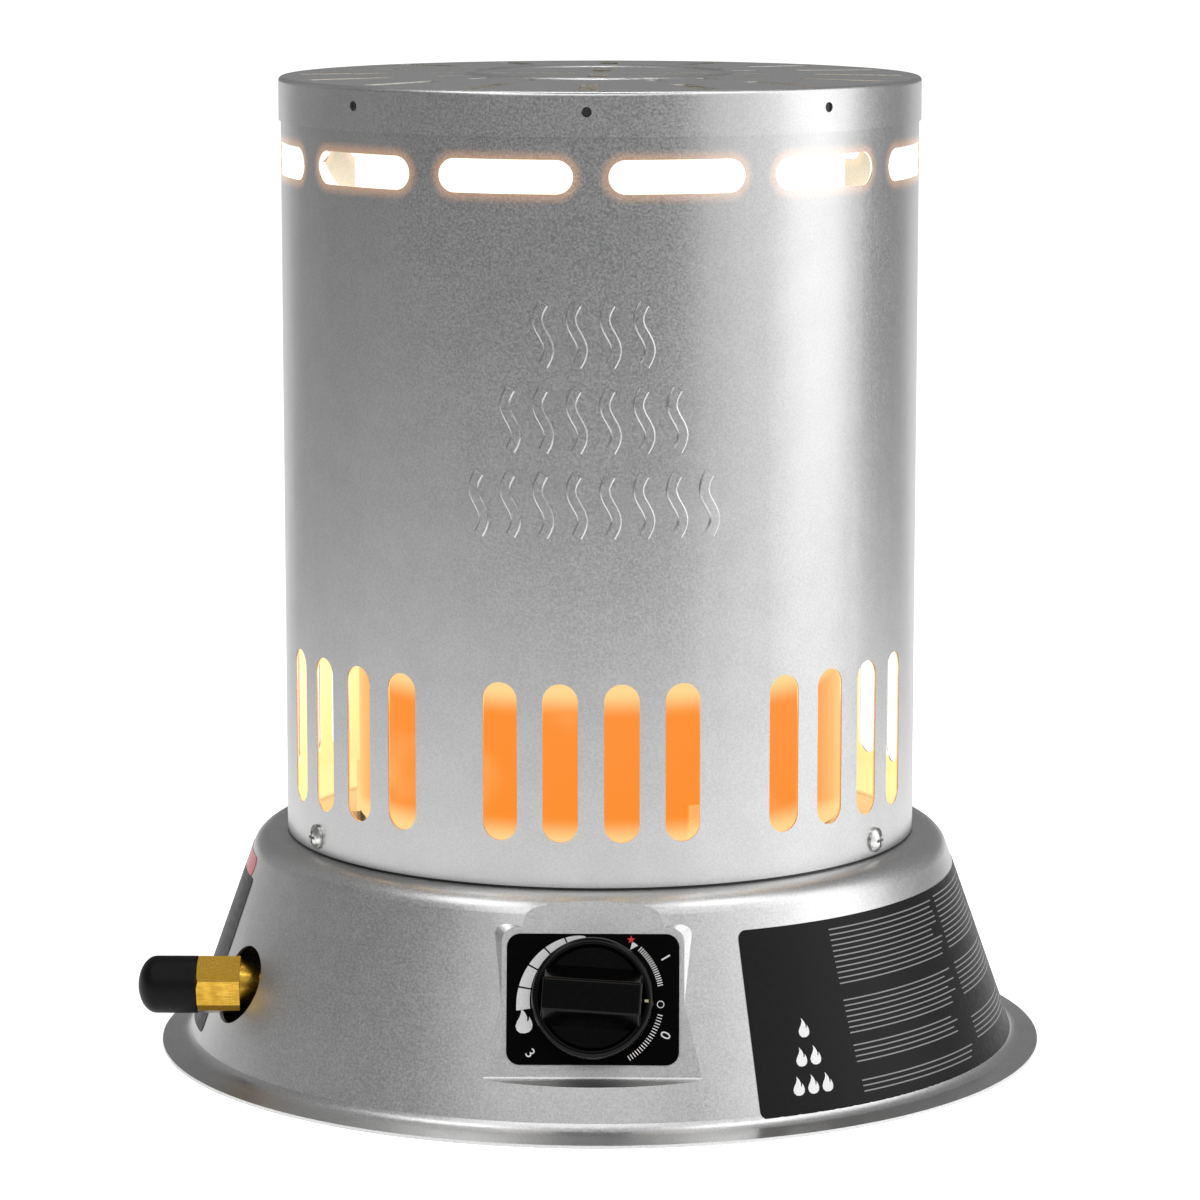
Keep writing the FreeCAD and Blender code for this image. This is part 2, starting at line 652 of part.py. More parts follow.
def knob_grip():
    foot = KNOB_BACK + KNOB_SKIRT - KNOB_DISH - 0.5
    face = KNOB_BACK + KNOB_SKIRT + GRIP_RISE
    grip = Part.makeLoft([grip_section(GRIP_LENGTH, GRIP_FOOT, foot),
                          grip_section(GRIP_LENGTH - 1, GRIP_FACE, face)], True, True)
    edges = [e for e in grip.Edges if max(v.Z for v in e.Vertexes) > face - 0.1]
    return grip.makeFillet(GRIP_ROUND, edges)


def knob():
    body = knob_skirt().fuse(turned(knob_grip(), KNOB_TILT))
    bore_top = HOLLOW_CEILING + KNOB_FLOOR + GRIP_RISE / 2
    return placed(body.cut(rod(STEM_TOP_RADIUS + FIT_GAP, 0, bore_top)), KNOB)


def valve_stem():
    top = HOLLOW_CEILING + KNOB_FLOOR + GRIP_RISE / 2 - SEAT_GAP
    stem = rod(STEM_TOP_RADIUS, HOLLOW_CEILING - SEAT_GAP, top)
    tail_top = PLUG_FRONT + KNOB_TRAVEL + MOVING_GAP
    stem = stem.fuse(rod(STEM_RADIUS, tail_top, HOLLOW_CEILING - SEAT_GAP))
    stem = stem.fuse(rod(STEM_COLLAR, STEM_COLLAR_BACK, STEM_COLLAR_BACK + STEM_COLLAR_HEIGHT))
    tail = rod(STEM_RADIUS, PLUG_FRONT - STEM_TAIL, tail_top).common(flats(STEM_FLAT))
    return placed(stem.fuse(tail), KNOB)


def flats(width):
    reach = VALVE_SIZE
    return block(-reach, reach, -width / 2, width / 2, 2 * VALVE_BACK, reach)


def valve_plug():
    plug = rod(PLUG_RADIUS, PLUG_BACK, PLUG_FRONT)
    socket = rod(STEM_RADIUS + FIT_GAP, PLUG_FRONT - PLUG_SOCKET, PLUG_FRONT + 1)
    socket = socket.common(flats(STEM_FLAT + 2 * FIT_GAP))
    return placed(plug.cut(socket), KNOB)


def coil_point(angle, bottom, pitch):
    rise = bottom + pitch * angle / (2 * math.pi)
    return Vector(SPRING_RADIUS * math.cos(angle), SPRING_RADIUS * math.sin(angle), rise)


def return_spring():
    wire = SPRING_WIRE / 2
    pitch = (SPRING_LENGTH - SPRING_WIRE - 2 * SEAT_GAP) / SPRING_TURNS
    bottom = PLUG_FRONT + SEAT_GAP + wire
    step = 2 * math.pi / SPRING_ARCS
    arcs = []
    for i in range(SPRING_TURNS * SPRING_ARCS):
        ends = [coil_point((i + part) * step, bottom, pitch) for part in (0, 0.5, 1)]
        arcs.append(Part.Arc(*ends).toShape())
    start = arcs[0].tangentAt(arcs[0].FirstParameter)
    circle = Part.Wire([Part.makeCircle(wire, coil_point(0, bottom, pitch), start)])
    return placed(Part.Wire(arcs).makePipeShell([circle], True, False), KNOB)


def valve_body():
    back = VALVE_FRONT - VALVE_COLLAR_HEIGHT
    body = rounded_plate(VALVE_SIZE, VALVE_SIZE, VALVE_CORNER, VALVE_BACK, back)
    body = body.fuse(rod(VALVE_COLLAR, back, VALVE_FRONT))
    body = body.fuse(rod(NECK_RADIUS, VALVE_FRONT, NECK_REACH))
    body = body.fuse(rod(MAGNET_RADIUS, VALVE_BACK - MAGNET_LENGTH, VALVE_BACK))
    for side in (-1, 1):
        port = Part.makeCylinder(PORT_RADIUS, VALVE_SIZE / 2 + PORT_LENGTH, Vector(0, 0, PORT_DEPTH),
                                 Vector(side, 0, 0))
        nipple = Part.makeCylinder(NIPPLE_RADIUS, VALVE_SIZE / 2 + PORT_LENGTH + NIPPLE_LENGTH,
                                   Vector(0, 0, PORT_DEPTH), Vector(side, 0, 0))
        body = body.fuse(port).fuse(nipple)
    body = body.cut(rod(STEM_RADIUS + FIT_GAP, PLUG_FRONT, NECK_REACH + 1))
    body = body.cut(rod(PLUG_RADIUS + FIT_GAP, PLUG_BACK - MOVING_GAP, CHAMBER_FRONT))
    return placed(body, KNOB)


def panel_nut():
    nut = hexagon(NUT_FLATS, PLATE_THICKNESS, PLATE_THICKNESS + NUT_HEIGHT)
    nut = nut.cut(rod(NECK_RADIUS + FIT_GAP, 0, PLATE_THICKNESS + NUT_HEIGHT + 1))
    return placed(nut, KNOB)


def piezo_unit():
    half = PIEZO_WIDTH / 2
    low = VALVE_SIZE / 2
    front = VALVE_FRONT - VALVE_COLLAR_HEIGHT
    unit = block(-half, half, low, low + PIEZO_HEIGHT, PIEZO_BACK, front)
    unit = unit.makeFillet(PIEZO_PIN, [e for e in unit.Edges if min(v.Y for v in e.Vertexes) > low + 1])
    pin = rod(PIEZO_PIN, PIEZO_BACK - PIEZO_PIN_LENGTH, PIEZO_BACK)
    return placed(unit.fuse(pin.translate(Vector(0, PIEZO_CENTRE, 0))), KNOB)


def probe_point(side, height):
    angle = math.radians(side * PROBE_AZIMUTH)
    return Vector(PROBE_CIRCLE * math.sin(angle), -PROBE_CIRCLE * math.cos(angle), height)


def ignition_lead():
    start = KNOB.multVec(Vector(0, PIEZO_CENTRE, PIEZO_BACK - PIEZO_PIN_LENGTH))
    inward = KNOB.multVec(Vector(0, PIEZO_CENTRE, PIEZO_BACK - PIEZO_PIN_LENGTH - LEAD_BEND * 2))
    low = probe_point(-1, DECK_UNDER - LEAD_DROP)
    end = probe_point(-1, GRIP_HEIGHT - CERAMIC_LENGTH / 2)
    return round_bar([start, inward, low, end], LEAD_RADIUS, LEAD_BEND)


def thermocouple_lead():
    start = KNOB.multVec(Vector(0, 0, VALVE_BACK - MAGNET_LENGTH))
    inward = KNOB.multVec(Vector(0, 0, VALVE_BACK - MAGNET_LENGTH - LEAD_BEND * 2))
    low = probe_point(1, DECK_UNDER - 2 * LEAD_DROP)
    end = probe_point(1, GRIP_HEIGHT - SENSOR_LENGTH / 2)
    return round_bar([start, inward, low, end], SENSOR_LEAD_RADIUS, LEAD_BEND)


def spark_electrode():
    low = GRIP_HEIGHT - CERAMIC_LENGTH / 2
    high = GRIP_HEIGHT + CERAMIC_LENGTH / 2
    ceramic = rod(CERAMIC_RADIUS, low, high).translate(Vector(0, -PROBE_CIRCLE, 0))
    top = high + ELECTRODE_RISE
    tip = [Vector(0, -PROBE_CIRCLE, high - 1), Vector(0, -PROBE_CIRCLE, top),
           Vector(0, -PROBE_CIRCLE + ELECTRODE_REACH, top)]
    wire = round_bar(tip, ELECTRODE_RADIUS, 2 * ELECTRODE_RADIUS)
    return turned(ceramic.fuse(wire), -PROBE_AZIMUTH)


def thermocouple():
    low = GRIP_HEIGHT - SENSOR_LENGTH / 2
    high = GRIP_HEIGHT + SENSOR_LENGTH / 2
    sensor = rod(SENSOR_RADIUS, low, high)
    top = [e for e in sensor.Edges if isinstance(e.Curve, Part.Circle) and e.Curve.Center.z > high - 1e-3]
    sensor = sensor.makeFillet(SENSOR_RADIUS * 0.8, top)
    return turned(sensor.translate(Vector(0, -PROBE_CIRCLE, 0)), PROBE_AZIMUTH)


def probe_clip(hole):
    # A foot on the deck, an upright outside the probe and a tab that grips it.
    half = CLIP_WIDTH / 2
    stand = PROBE_CIRCLE + CLIP_STAND
    upright = block(-half, half, -stand, -stand + INNER_SHEET, BASE_HEIGHT, GRIP_HEIGHT)
    foot = block(-half, half, -stand, -stand + INNER_SHEET + CLIP_FOOT * 0.4, BASE_HEIGHT,
                 BASE_HEIGHT + INNER_SHEET)
    tab = block(-half, half, -stand, -PROBE_CIRCLE + half, GRIP_HEIGHT - INNER_SHEET, GRIP_HEIGHT)
    bore = rod(hole + FIT_GAP, BASE_HEIGHT, GRIP_HEIGHT + 1).translate(Vector(0, -PROBE_CIRCLE, 0))
    return upright.fuse(foot).fuse(tab).cut(bore)


def probe_clips():
    return Part.makeCompound([turned(probe_clip(CERAMIC_RADIUS), -PROBE_AZIMUTH),
                              turned(probe_clip(SENSOR_RADIUS), PROBE_AZIMUTH)])


def inlet_cup():
    # A pressed cup behind the hole in the cone, its rim cut to the cone's inside.
    depth = RING_RADIUS + CUP_BACK_X
    outer = block(-CUP_HALF, CUP_HALF, -CUP_HALF, CUP_HALF, -RING_RADIUS, CUP_BACK_X + INNER_SHEET)
    wall = CUP_HALF - INNER_SHEET
    inner = block(-wall, wall, -wall, wall, -RING_RADIUS - 1, CUP_BACK_X)
    cup = outer.cut(inner).cut(rod(SHANK_RADIUS + FIT_GAP, -depth - RING_RADIUS, 0))
    return placed(cup, INLET).common(base_body(BASE_SHEET + SEAT_GAP))


def inlet_fitting():
    front = HEX_FRONT_X - FLARE_LENGTH
    nose = front + FLARE_NOSE
    outline = [(0, front), (FLARE_RADIUS - FLARE_NOSE, front), (FLARE_RADIUS, nose),
               (FLARE_RADIUS, HEX_FRONT_X), (TAPER_RADIUS, HEX_FRONT_X), (TAPER_RADIUS, HEX_END_X),
               (TAPER_END, CUP_BACK_X - COLLAR_LENGTH), (COLLAR_RADIUS, CUP_BACK_X - COLLAR_LENGTH),
               (COLLAR_RADIUS, CUP_BACK_X), (SHANK_RADIUS, CUP_BACK_X),
               (SHANK_RADIUS, CUP_BACK_X + SHANK_LENGTH), (0, CUP_BACK_X + SHANK_LENGTH)]
    nut = turned(hexagon(HEX_FLATS, HEX_FRONT_X, HEX_END_X), HEX_TURN)
    corner = HEX_FLATS / math.sqrt(3)
    chamfer = revolved([(0, HEX_FRONT_X), (corner - HEX_CHAMFER, HEX_FRONT_X),
                        (corner, HEX_FRONT_X + HEX_CHAMFER * 0.6), (corner, HEX_END_X), (0, HEX_END_X)])
    fitting = revolved(outline).fuse(nut.common(chamfer))
    return placed(fitting.cut(rod(FLARE_BORE, front - 1, HEX_END_X)), INLET)


def inlet_locknut():
    start = CUP_BACK_X + INNER_SHEET
    nut = hexagon(LOCKNUT_FLATS, start, start + LOCKNUT_LENGTH)
    return placed(nut.cut(rod(SHANK_RADIUS + FIT_GAP, start - 1, start + LOCKNUT_LENGTH + 1)), INLET)


def dust_cap():
    front = HEX_FRONT_X - FLARE_LENGTH
    end = front - CAP_PLUG_END
    cap = rod(CAP_PLUG_RADIUS, end, HEX_FRONT_X - MOVING_GAP)
    rims = [e for e in cap.Edges if isinstance(e.Curve, Part.Circle) and e.Curve.Center.z < end + 1e-3]
    cap = cap.makeFillet(CAP_PLUG_ROUND, rims)
    bore = rod(FLARE_RADIUS + FIT_GAP, front - MOVING_GAP, HEX_FRONT_X + 1)
    return placed(cap.cut(bore), INLET)


def valve_port(side):
    return KNOB.multVec(Vector(side * (VALVE_SIZE / 2 + PORT_LENGTH + NIPPLE_LENGTH), 0, PORT_DEPTH))


def inlet_tube_points():
    start = Vector(CUP_BACK_X + SHANK_LENGTH, -INLET_FORWARD, INLET_HEIGHT)
    end = valve_port(-1)
    bend_x = end.x - TUBE_SIDE_RUN
    return [start, Vector(bend_x, start.y, start.z), Vector(bend_x, end.y, end.z), end]


def outlet_tube_points():
    start = valve_port(1)
    end = Vector(ELBOW_PORT, 0, ORIFICE_HEIGHT)
    bend_x = start.x + TUBE_SIDE_RUN
    return [start, Vector(bend_x, start.y, start.z), Vector(bend_x, end.y, end.z), end]


def tube_nut(point, direction):
    # A flare nut that grips the tube and runs over the nipple beyond its end.
    nut = hexagon(TUBE_NUT_FLATS, -NIPPLE_LENGTH, TUBE_NUT_LENGTH - NIPPLE_LENGTH)
    nut = nut.cut(rod(TUBE_RADIUS + FIT_GAP, -NIPPLE_LENGTH - 1, TUBE_NUT_LENGTH))
    nut = nut.cut(rod(NIPPLE_RADIUS + FIT_GAP, -NIPPLE_LENGTH - 1, 0))
    return placed(nut, Placement(point, Rotation(UP, direction)))


def tube_nuts():
    inlet = inlet_tube_points()
    outlet = outlet_tube_points()
    return Part.makeCompound([tube_nut(inlet[-1], inlet[-2] - inlet[-1]),
                              tube_nut(outlet[0], outlet[1] - outlet[0]),
                              tube_nut(outlet[-1], outlet[-2] - outlet[-1])])


def orifice_elbow():
    top = WEB_HEIGHT
    body = rod(ELBOW_RADIUS, ORIFICE_HEIGHT - ELBOW_RADIUS, top)
    arm_end = ELBOW_PORT - NIPPLE_LENGTH
    arm = Part.makeCylinder(ELBOW_RADIUS - 0.5, arm_end, Vector(0, 0, ORIFICE_HEIGHT), Vector(1, 0, 0))
    nipple = Part.makeCylinder(NIPPLE_RADIUS, ELBOW_PORT, Vector(0, 0, ORIFICE_HEIGHT), Vector(1, 0, 0))
    body = body.fuse(arm).fuse(nipple)
    return body.cut(rod(NOZZLE_SHANK + FIT_GAP, top - NOZZLE_SHANK * 2, top + 1))


def orifice_nozzle():
    seat = WEB_HEIGHT + INNER_SHEET
    nozzle = hexagon(NOZZLE_RADIUS * 2, seat, seat + NOZZLE_LENGTH / 2)
    tip = revolved([(0, seat), (NOZZLE_RADIUS - 0.6, seat), (NOZZLE_RADIUS - 0.6, seat + NOZZLE_LENGTH / 2),
                    (NOZZLE_TIP, NOZZLE_TOP), (0, NOZZLE_TOP)])
    shank = rod(NOZZLE_SHANK, WEB_HEIGHT - NOZZLE_SHANK, seat)
    nozzle = nozzle.fuse(tip).fuse(shank)
    return nozzle.cut(rod(NOZZLE_TIP / 2, seat + NOZZLE_LENGTH / 2, NOZZLE_TOP + 1))


def burner_bracket():
    half = WEB_WIDTH / 2
    span = WEB_HALF_SPAN
    web = block(-span, span, -half, half, WEB_HEIGHT, WEB_HEIGHT + INNER_SHEET)
    parts = []
    for side in (-1, 1):
        legs = sorted((side * span, side * (span - INNER_SHEET)))
        parts.append(block(legs[0], legs[1], -half, half, WEB_HEIGHT, DECK_UNDER))
        flange = sorted((side * span, side * (span + BRACKET_FLANGE)))
        parts.append(block(flange[0], flange[1], -half, half, DECK_UNDER - INNER_SHEET, DECK_UNDER))
    bracket = web.multiFuse(parts)
    bracket = bracket.cut(rod(NOZZLE_SHANK + FIT_GAP, 0, NOZZLE_TOP))
    hole = rod(SMALL_SCREW_SHANK / 2 + FIT_GAP, 0, BASE_HEIGHT).translate(Vector(0, -bracket_screw_radius(), 0))
    return bracket.cut([turned(hole, -90), turned(hole, 90)]).removeSplitter()


def small_screw():
    return pan_screw(SMALL_SCREW_SHANK, SMALL_SCREW_HEAD, SMALL_SCREW_HEAD_HEIGHT, SMALL_SCREW_LENGTH)


def bracket_screws():
    screw = small_screw()
    screw.rotate(Vector(0, 0, 0), Vector(1, 0, 0), 180)
    screw.translate(Vector(0, -bracket_screw_radius(), DECK_UNDER - INNER_SHEET))
    return Part.makeCompound([turned(screw, -90), turned(screw, 90)])


def burner_tube():
    inner = VENTURI_RADIUS - INNER_SHEET
    bell = VENTURI_BELL - INNER_SHEET
    bell_top = VENTURI_MOUTH + VENTURI_BELL_LENGTH
    flange = BASE_HEIGHT + INNER_SHEET
    outline = [(VENTURI_BELL, VENTURI_MOUTH), (VENTURI_RADIUS, bell_top), (VENTURI_RADIUS, BASE_HEIGHT),
               (VENTURI_FLANGE, BASE_HEIGHT), (VENTURI_FLANGE, flange), (VENTURI_RADIUS, flange),
               (VENTURI_RADIUS, VENTURI_TOP), (inner, VENTURI_TOP), (inner, bell_top), (bell, VENTURI_MOUTH)]
    body = revolved(outline)
    hole = rod(SMALL_SCREW_SHANK / 2 + FIT_GAP, 0, VENTURI_TOP).translate(Vector(0, -VENTURI_SCREWS, 0))
    return body.cut([turned(hole, -90), turned(hole, 90)])


def heat_shield():
    low = BASE_HEIGHT + INNER_SHEET
    high = low + SHIELD_RISE
    start = VENTURI_FLANGE + 1
    rise = start + SHIELD_RUN
    inner = VENTURI_RADIUS + SEAT_GAP
    t = INNER_SHEET
    outline = [(inner, low), (start, low), (rise, high), (SHIELD_RADIUS, high), (SHIELD_RADIUS, high + t),
               (rise, high + t), (start, low + t), (inner, low + t)]
    hole = rod(SMALL_SCREW_SHANK / 2 + FIT_GAP, 0, VENTURI_TOP).translate(Vector(0, -VENTURI_SCREWS, 0))
    return revolved(outline).cut([turned(hole, -90), turned(hole, 90)])


def burner_screws():
    screw = small_screw().translate(Vector(0, -VENTURI_SCREWS, BASE_HEIGHT + 2 * INNER_SHEET))
    return Part.makeCompound([turned(screw, -90), turned(screw, 90)])


def burner_head():
    t = INNER_SHEET
    neck = VENTURI_RADIUS + FIT_GAP
    outline = [(neck, HEAD_BOTTOM), (neck + t, HEAD_BOTTOM), (neck + t, VENTURI_TOP),
               (HEAD_RADIUS, BOWL_TOP), (HEAD_RADIUS, HEAD_TOP), (HEAD_RADIUS - t, HEAD_TOP),
               (HEAD_RADIUS - t, BOWL_TOP + t / 2), (neck, VENTURI_TOP + t)]
    return revolved(outline)


def port_plate():
    top = PORT_PLATE_TOP
    plate = rod(HEAD_RADIUS - INNER_SHEET - FIT_GAP, top - INNER_SHEET, top)
    port = rod(BURNER_PORT / 2, top - 5, top + 5).translate(Vector(0, -BURNER_PORT_CIRCLE, 0))
    holes = ring_of(port, BURNER_PORTS)
    inner = rod(BURNER_PORT / 2, top - 5, top + 5).translate(Vector(0, -BURNER_PORT_CIRCLE / 2, 0))
    return plate.cut(holes + ring_of(inner, BURNER_PORTS // 2))


def flame_spreader():
    t = INNER_SHEET
    low = SPREADER_BOTTOM
    flat = POST_CIRCLE + 2 * POST_RADIUS
    outline = [(0, low), (flat, low), (SPREADER_RADIUS, low + SPREADER_RISE),
               (SPREADER_RADIUS, low + SPREADER_RISE + t), (flat, low + t), (0, low + t)]
    return revolved(outline)


def spreader_posts():
    post = rod(POST_RADIUS, PORT_PLATE_TOP, SPREADER_BOTTOM).translate(Vector(0, -POST_CIRCLE, 0))
    return Part.makeCompound(ring_of(post, POSTS, 180 / BURNER_PORTS))


def combustion_liner():
    return tube(LINER_RADIUS, LINER_RADIUS - SHELL_SHEET, LINER_BOTTOM, LINER_TOP)


def liner_feet():
    # Angle feet: an upright against the liner and a toe on the deck.
    half = LINER_FOOT_WIDTH / 2
    inner = LINER_RADIUS + SEAT_GAP
    outer = inner + INNER_SHEET
    upright = tube(outer, inner, BASE_HEIGHT, LINER_BOTTOM + LINER_FOOT_HEIGHT)
    toe = tube(outer + LINER_FOOT_REACH, inner, BASE_HEIGHT, BASE_HEIGHT + INNER_SHEET)
    foot = upright.fuse(toe).common(block(-half, half, -SHELL_RADIUS, 0, 0, SHELL_TOP))
    return Part.makeCompound(ring_of(foot, LINER_FEET, LINER_TURN))


def top_spacers():
    # Strips that keep the liner central in the shell, below the hot-air slots.
    half = SPACER_WIDTH / 2
    top = CAP_TOP - SPACER_DROP
    inner = LINER_RADIUS + SEAT_GAP
    outer = SHELL_INSIDE - SEAT_GAP
    t = SHELL_SHEET
    strip = tube(inner + t, inner, top - SPACER_HEIGHT, top)
    strip = strip.fuse(tube(outer, inner, top - t, top))
    strip = strip.fuse(tube(outer, outer - t, top - SPACER_HEIGHT, top))
    strip = strip.common(block(-half, half, -SHELL_RADIUS, 0, 0, SHELL_TOP))
    return Part.makeCompound(ring_of(strip, LINER_FEET, LINER_TURN))


def inlet_tube():
    return round_bar(inlet_tube_points(), TUBE_RADIUS, TUBE_BEND)


def outlet_tube():
    return round_bar(outlet_tube_points(), TUBE_RADIUS, TUBE_BEND)


PIECES = [base_housing, outer_shell, top_grille, shell_screws, control_plate, knob, valve_stem,
          valve_plug, return_spring, valve_body, panel_nut, piezo_unit, ignition_lead, spark_electrode,
          thermocouple, thermocouple_lead, probe_clips, inlet_cup, inlet_fitting, inlet_locknut, dust_cap,
          inlet_tube, outlet_tube, tube_nuts, orifice_elbow, orifice_nozzle, burner_bracket,
          bracket_screws, burner_tube, burner_screws, burner_head, port_plate, flame_spreader,
          spreader_posts, heat_shield, combustion_liner, liner_feet, top_spacers]

os.makedirs("parts", exist_ok=True)
for piece in PIECES:
    save(piece.__name__, piece())
print("knob centre", [round(c, 3) for c in KNOB_CENTRE])
print("cone foot", round(CONE_FOOT_RADIUS, 2), "ring", round(RING_RADIUS, 2), "inlet hex", round(HEX_END_X, 2))
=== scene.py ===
import json
from math import asin, cos, pi, radians, sin, sqrt, tan

import bpy
from bpy.props import FloatProperty, FloatVectorProperty, IntProperty, PointerProperty
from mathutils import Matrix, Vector


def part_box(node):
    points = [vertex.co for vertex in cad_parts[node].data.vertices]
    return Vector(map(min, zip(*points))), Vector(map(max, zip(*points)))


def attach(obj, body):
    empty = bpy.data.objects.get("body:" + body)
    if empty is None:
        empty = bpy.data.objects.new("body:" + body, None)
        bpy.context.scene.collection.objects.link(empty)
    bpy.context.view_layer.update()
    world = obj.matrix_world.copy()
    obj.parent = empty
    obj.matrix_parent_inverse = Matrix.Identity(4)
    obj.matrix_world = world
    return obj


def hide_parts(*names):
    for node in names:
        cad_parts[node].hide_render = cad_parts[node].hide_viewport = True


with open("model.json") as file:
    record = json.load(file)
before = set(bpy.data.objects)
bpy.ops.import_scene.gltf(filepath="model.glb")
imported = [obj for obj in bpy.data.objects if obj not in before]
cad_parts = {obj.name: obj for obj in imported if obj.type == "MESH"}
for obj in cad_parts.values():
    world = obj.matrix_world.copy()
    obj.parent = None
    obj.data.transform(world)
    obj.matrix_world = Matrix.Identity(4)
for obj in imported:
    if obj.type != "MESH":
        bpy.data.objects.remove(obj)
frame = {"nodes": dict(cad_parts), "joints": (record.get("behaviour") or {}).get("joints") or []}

bl_info = {
    "name": "Portable propane heater",
    "version": (1, 0, 0),
    "blender": (4, 5, 0),
    "location": "View3D > Sidebar > Heater",
    "description": "Finishes, printed marks, raised heat waves and studio of a propane heater",
    "category": "Object",
}

# Metres, +Z up, floor at z = 0, knob towards -Y, gas inlet towards -X.
# An azimuth is counted from the front, positive towards +X.
MM = 0.001

# The round shell and the cone under it
SHELL_RADIUS = 111.85 * MM
SHELL_SHEET = 0.8 * MM
LINER_TOP = 326.6 * MM
LINER_SHEET = 1.2 * MM
CONE_FOOT_RADIUS = 148.12 * MM
CONE_FOOT_HEIGHT = 3.0 * MM
CONE_LEAN = radians(19.5)

# The photo looks at the heater from this far round it
PHOTO_TURN = radians(1.05)

# The control plate's front and the knob's rim, measured out from the panel
PLATE_FRONT = 0.6 * MM
KNOB_RIM = 13.2 * MM
INK = 0.05 * MM
INK_SINK = 0.03 * MM

# Hot slots in the shell
HOT_SLOTS = 12
HOT_SLOT_HEIGHT = 316.2 * MM
HOT_SLOT_HALF = 5.65 * MM
HOT_SLOT_SPAN = radians(24.0)
SHELL_TURN = radians(-0.5)

# Punched stakes that hold the cap, their dimples filled with dark discs of painted shade
STAKES = 8
STAKE_RADIUS = 1.65 * MM
STAKE_HEIGHT = 337.6 * MM
STAKE_SIDES, STAKE_DEPTH = 24, 0.1 * MM
CAP_TURN = radians(-1.2)

# Low slots in the shell, and how far the middle of their fire sits below their own
LOW_SLOT_BOTTOM = 93.1 * MM
LOW_SLOT_TOP = 147.1 * MM
PALE_DROP = 6.5 * MM

# The painted shade line along the foot of the shell, all dark up to this share of its height
SHADE_LINE, SHADE_LINE_SOLID, SHADE_LINE_GREY = 0.9 * MM, 0.8, 0.008

# How the fire's colour runs. The low slots pale towards their ends and at the heater's sides.
PALE_FROM = 0.62
SIDE_FROM, SIDE_TO, SIDE_PALE = radians(52), radians(85), 0.8
CLOUD_SCALE, CLOUD_FROM, CLOUD_TO, CLOUD_PALE = 24.0, 0.5, 0.8, 0.4
# The fire turns white between these depths under the hot slots.
HOT_FROM, HOT_TO = 60 * MM, 15 * MM
# Behind the liner the painted glow on the wall's inside, which stands in for the fire's light on it, reaches
# only to a depth under the hot slots.
BACK_FROM, BACK_TO, BACK_DROP = 30 * MM, 60 * MM, 16 * MM
# Colour of the painted halo round each hot slot, which stands in for the slot's light on the sheet
PAINTED_HALO_COLOUR = (1.0, 0.45, 0.14, 1.0)
# Depth below the low slots and strength of the painted glow that stands in for the fire's light on the steel
# inside the shell
INNER_GLOW_DEPTH, INNER_GLOW = 12 * MM, 0.8

# A noise's middle range, over which a pattern goes from one colour to the other
LOW, HIGH = 0.3, 0.7

# Sheet steel: the scales of its speckle, mottle and orange peel
SPECKLE_SCALE, SPECKLE_SHARE = 1500.0, 0.75
MOTTLE_SCALE, MOTTLE_SHARE = 70.0, 0.25
PEEL_SCALE, PEEL_DEPTH, PEEL_STRENGTH = 900.0, 0.02 * MM, 0.6
ROUGH_STRAY = 0.05

# Sheets: grey tone, roughness and how far the speckle strays
SHEETS = {
    "base_steel": (0.62, 0.38, 0.06),
    "shell_steel": (0.56, 0.36, 0.05),
    "cap_steel": (0.60, 0.36, 0.05),
    "wave_steel": (0.60, 0.34, 0.05),
    "inner_steel": (0.42, 0.5, 0.06),
    # The inlet cup's near-black tone is painted shade inside the inlet's recess.
    "cup_steel": (0.04, 0.6, 0.02),
}

# Bare metals: colour and roughness
METALS = {
    "zinc_screw": ((0.72, 0.72, 0.70), 0.22),
    "cast_valve": ((0.60, 0.60, 0.62), 0.42),
    "drawn_tube": ((0.68, 0.69, 0.70), 0.30),
    "burner_steel": ((0.40, 0.38, 0.36), 0.48),
    "copper_lead": ((0.75, 0.40, 0.25), 0.32),
}
WEAR_SCALE, WEAR_DARK, WEAR_ROUGH = 400.0, 0.82, 0.12

# Brass: lines drawn along X, stains, and a painted shade that darkens the flats below the hexagon's lower
# edge
DRAWN_SCALE, DRAWN_STRETCH, STAIN_SCALE = 4200.0, 0.06, 260.0
BRASS_DARK, BRASS_LIGHT = (0.42, 0.23, 0.025, 1.0), (0.74, 0.45, 0.07, 1.0)
BRASS_PAINTED_SHADE = (0.14, 0.08, 0.01, 1.0)
BRASS_EDGE_SHARE, BRASS_EDGE_BLUR = 0.25, 0.4 * MM
BRASS_DULL, BRASS_BRIGHT = 0.34, 0.24
DRAWN_DEPTH, DRAWN_STRENGTH = 0.02 * MM, 0.2

# Plastics: colour, roughness, gloss coat and shine
PLASTICS = {
    "knob_black": ((0.0012, 0.0012, 0.0012), 0.12, 0.0, 0.16),
    "plate_black": ((0.001, 0.001, 0.001), 0.3, 0.0, 0.03),
    "vinyl_black": ((0.002, 0.002, 0.0025), 0.42, 0.0, 0.14),
    "lead_black": ((0.015, 0.015, 0.016), 0.45, 0.0, 0.3),
    "ceramic_white": ((0.62, 0.59, 0.53), 0.30, 0.3, 0.3),
}
GRAIN_SCALE, GRAIN_LIGHT, GRAIN_ROUGH = 1200.0, 1.35, 0.08
GRAIN_DEPTH, GRAIN_STRENGTH = 0.005 * MM, 0.1

# Inks: colour and roughness
INKS = {
    # The stakes' dark colour is painted shade in their dimples.
    "stake_dark": ((0.02, 0.02, 0.02), 0.5),
    "dial_white": ((0.78, 0.78, 0.78), 0.45),
    "dial_red": ((0.62, 0.02, 0.03), 0.45),
    "pointer_yellow": ((0.60, 0.55, 0.28), 0.45),
    "rule_grey": ((0.24, 0.24, 0.24), 0.45),
    "step_white": ((0.80, 0.80, 0.80), 0.45),
    "band_red": ((0.52, 0.015, 0.03), 0.3),
}
FLECK_SCALE, FLECK_DARK = 3000.0, 0.86

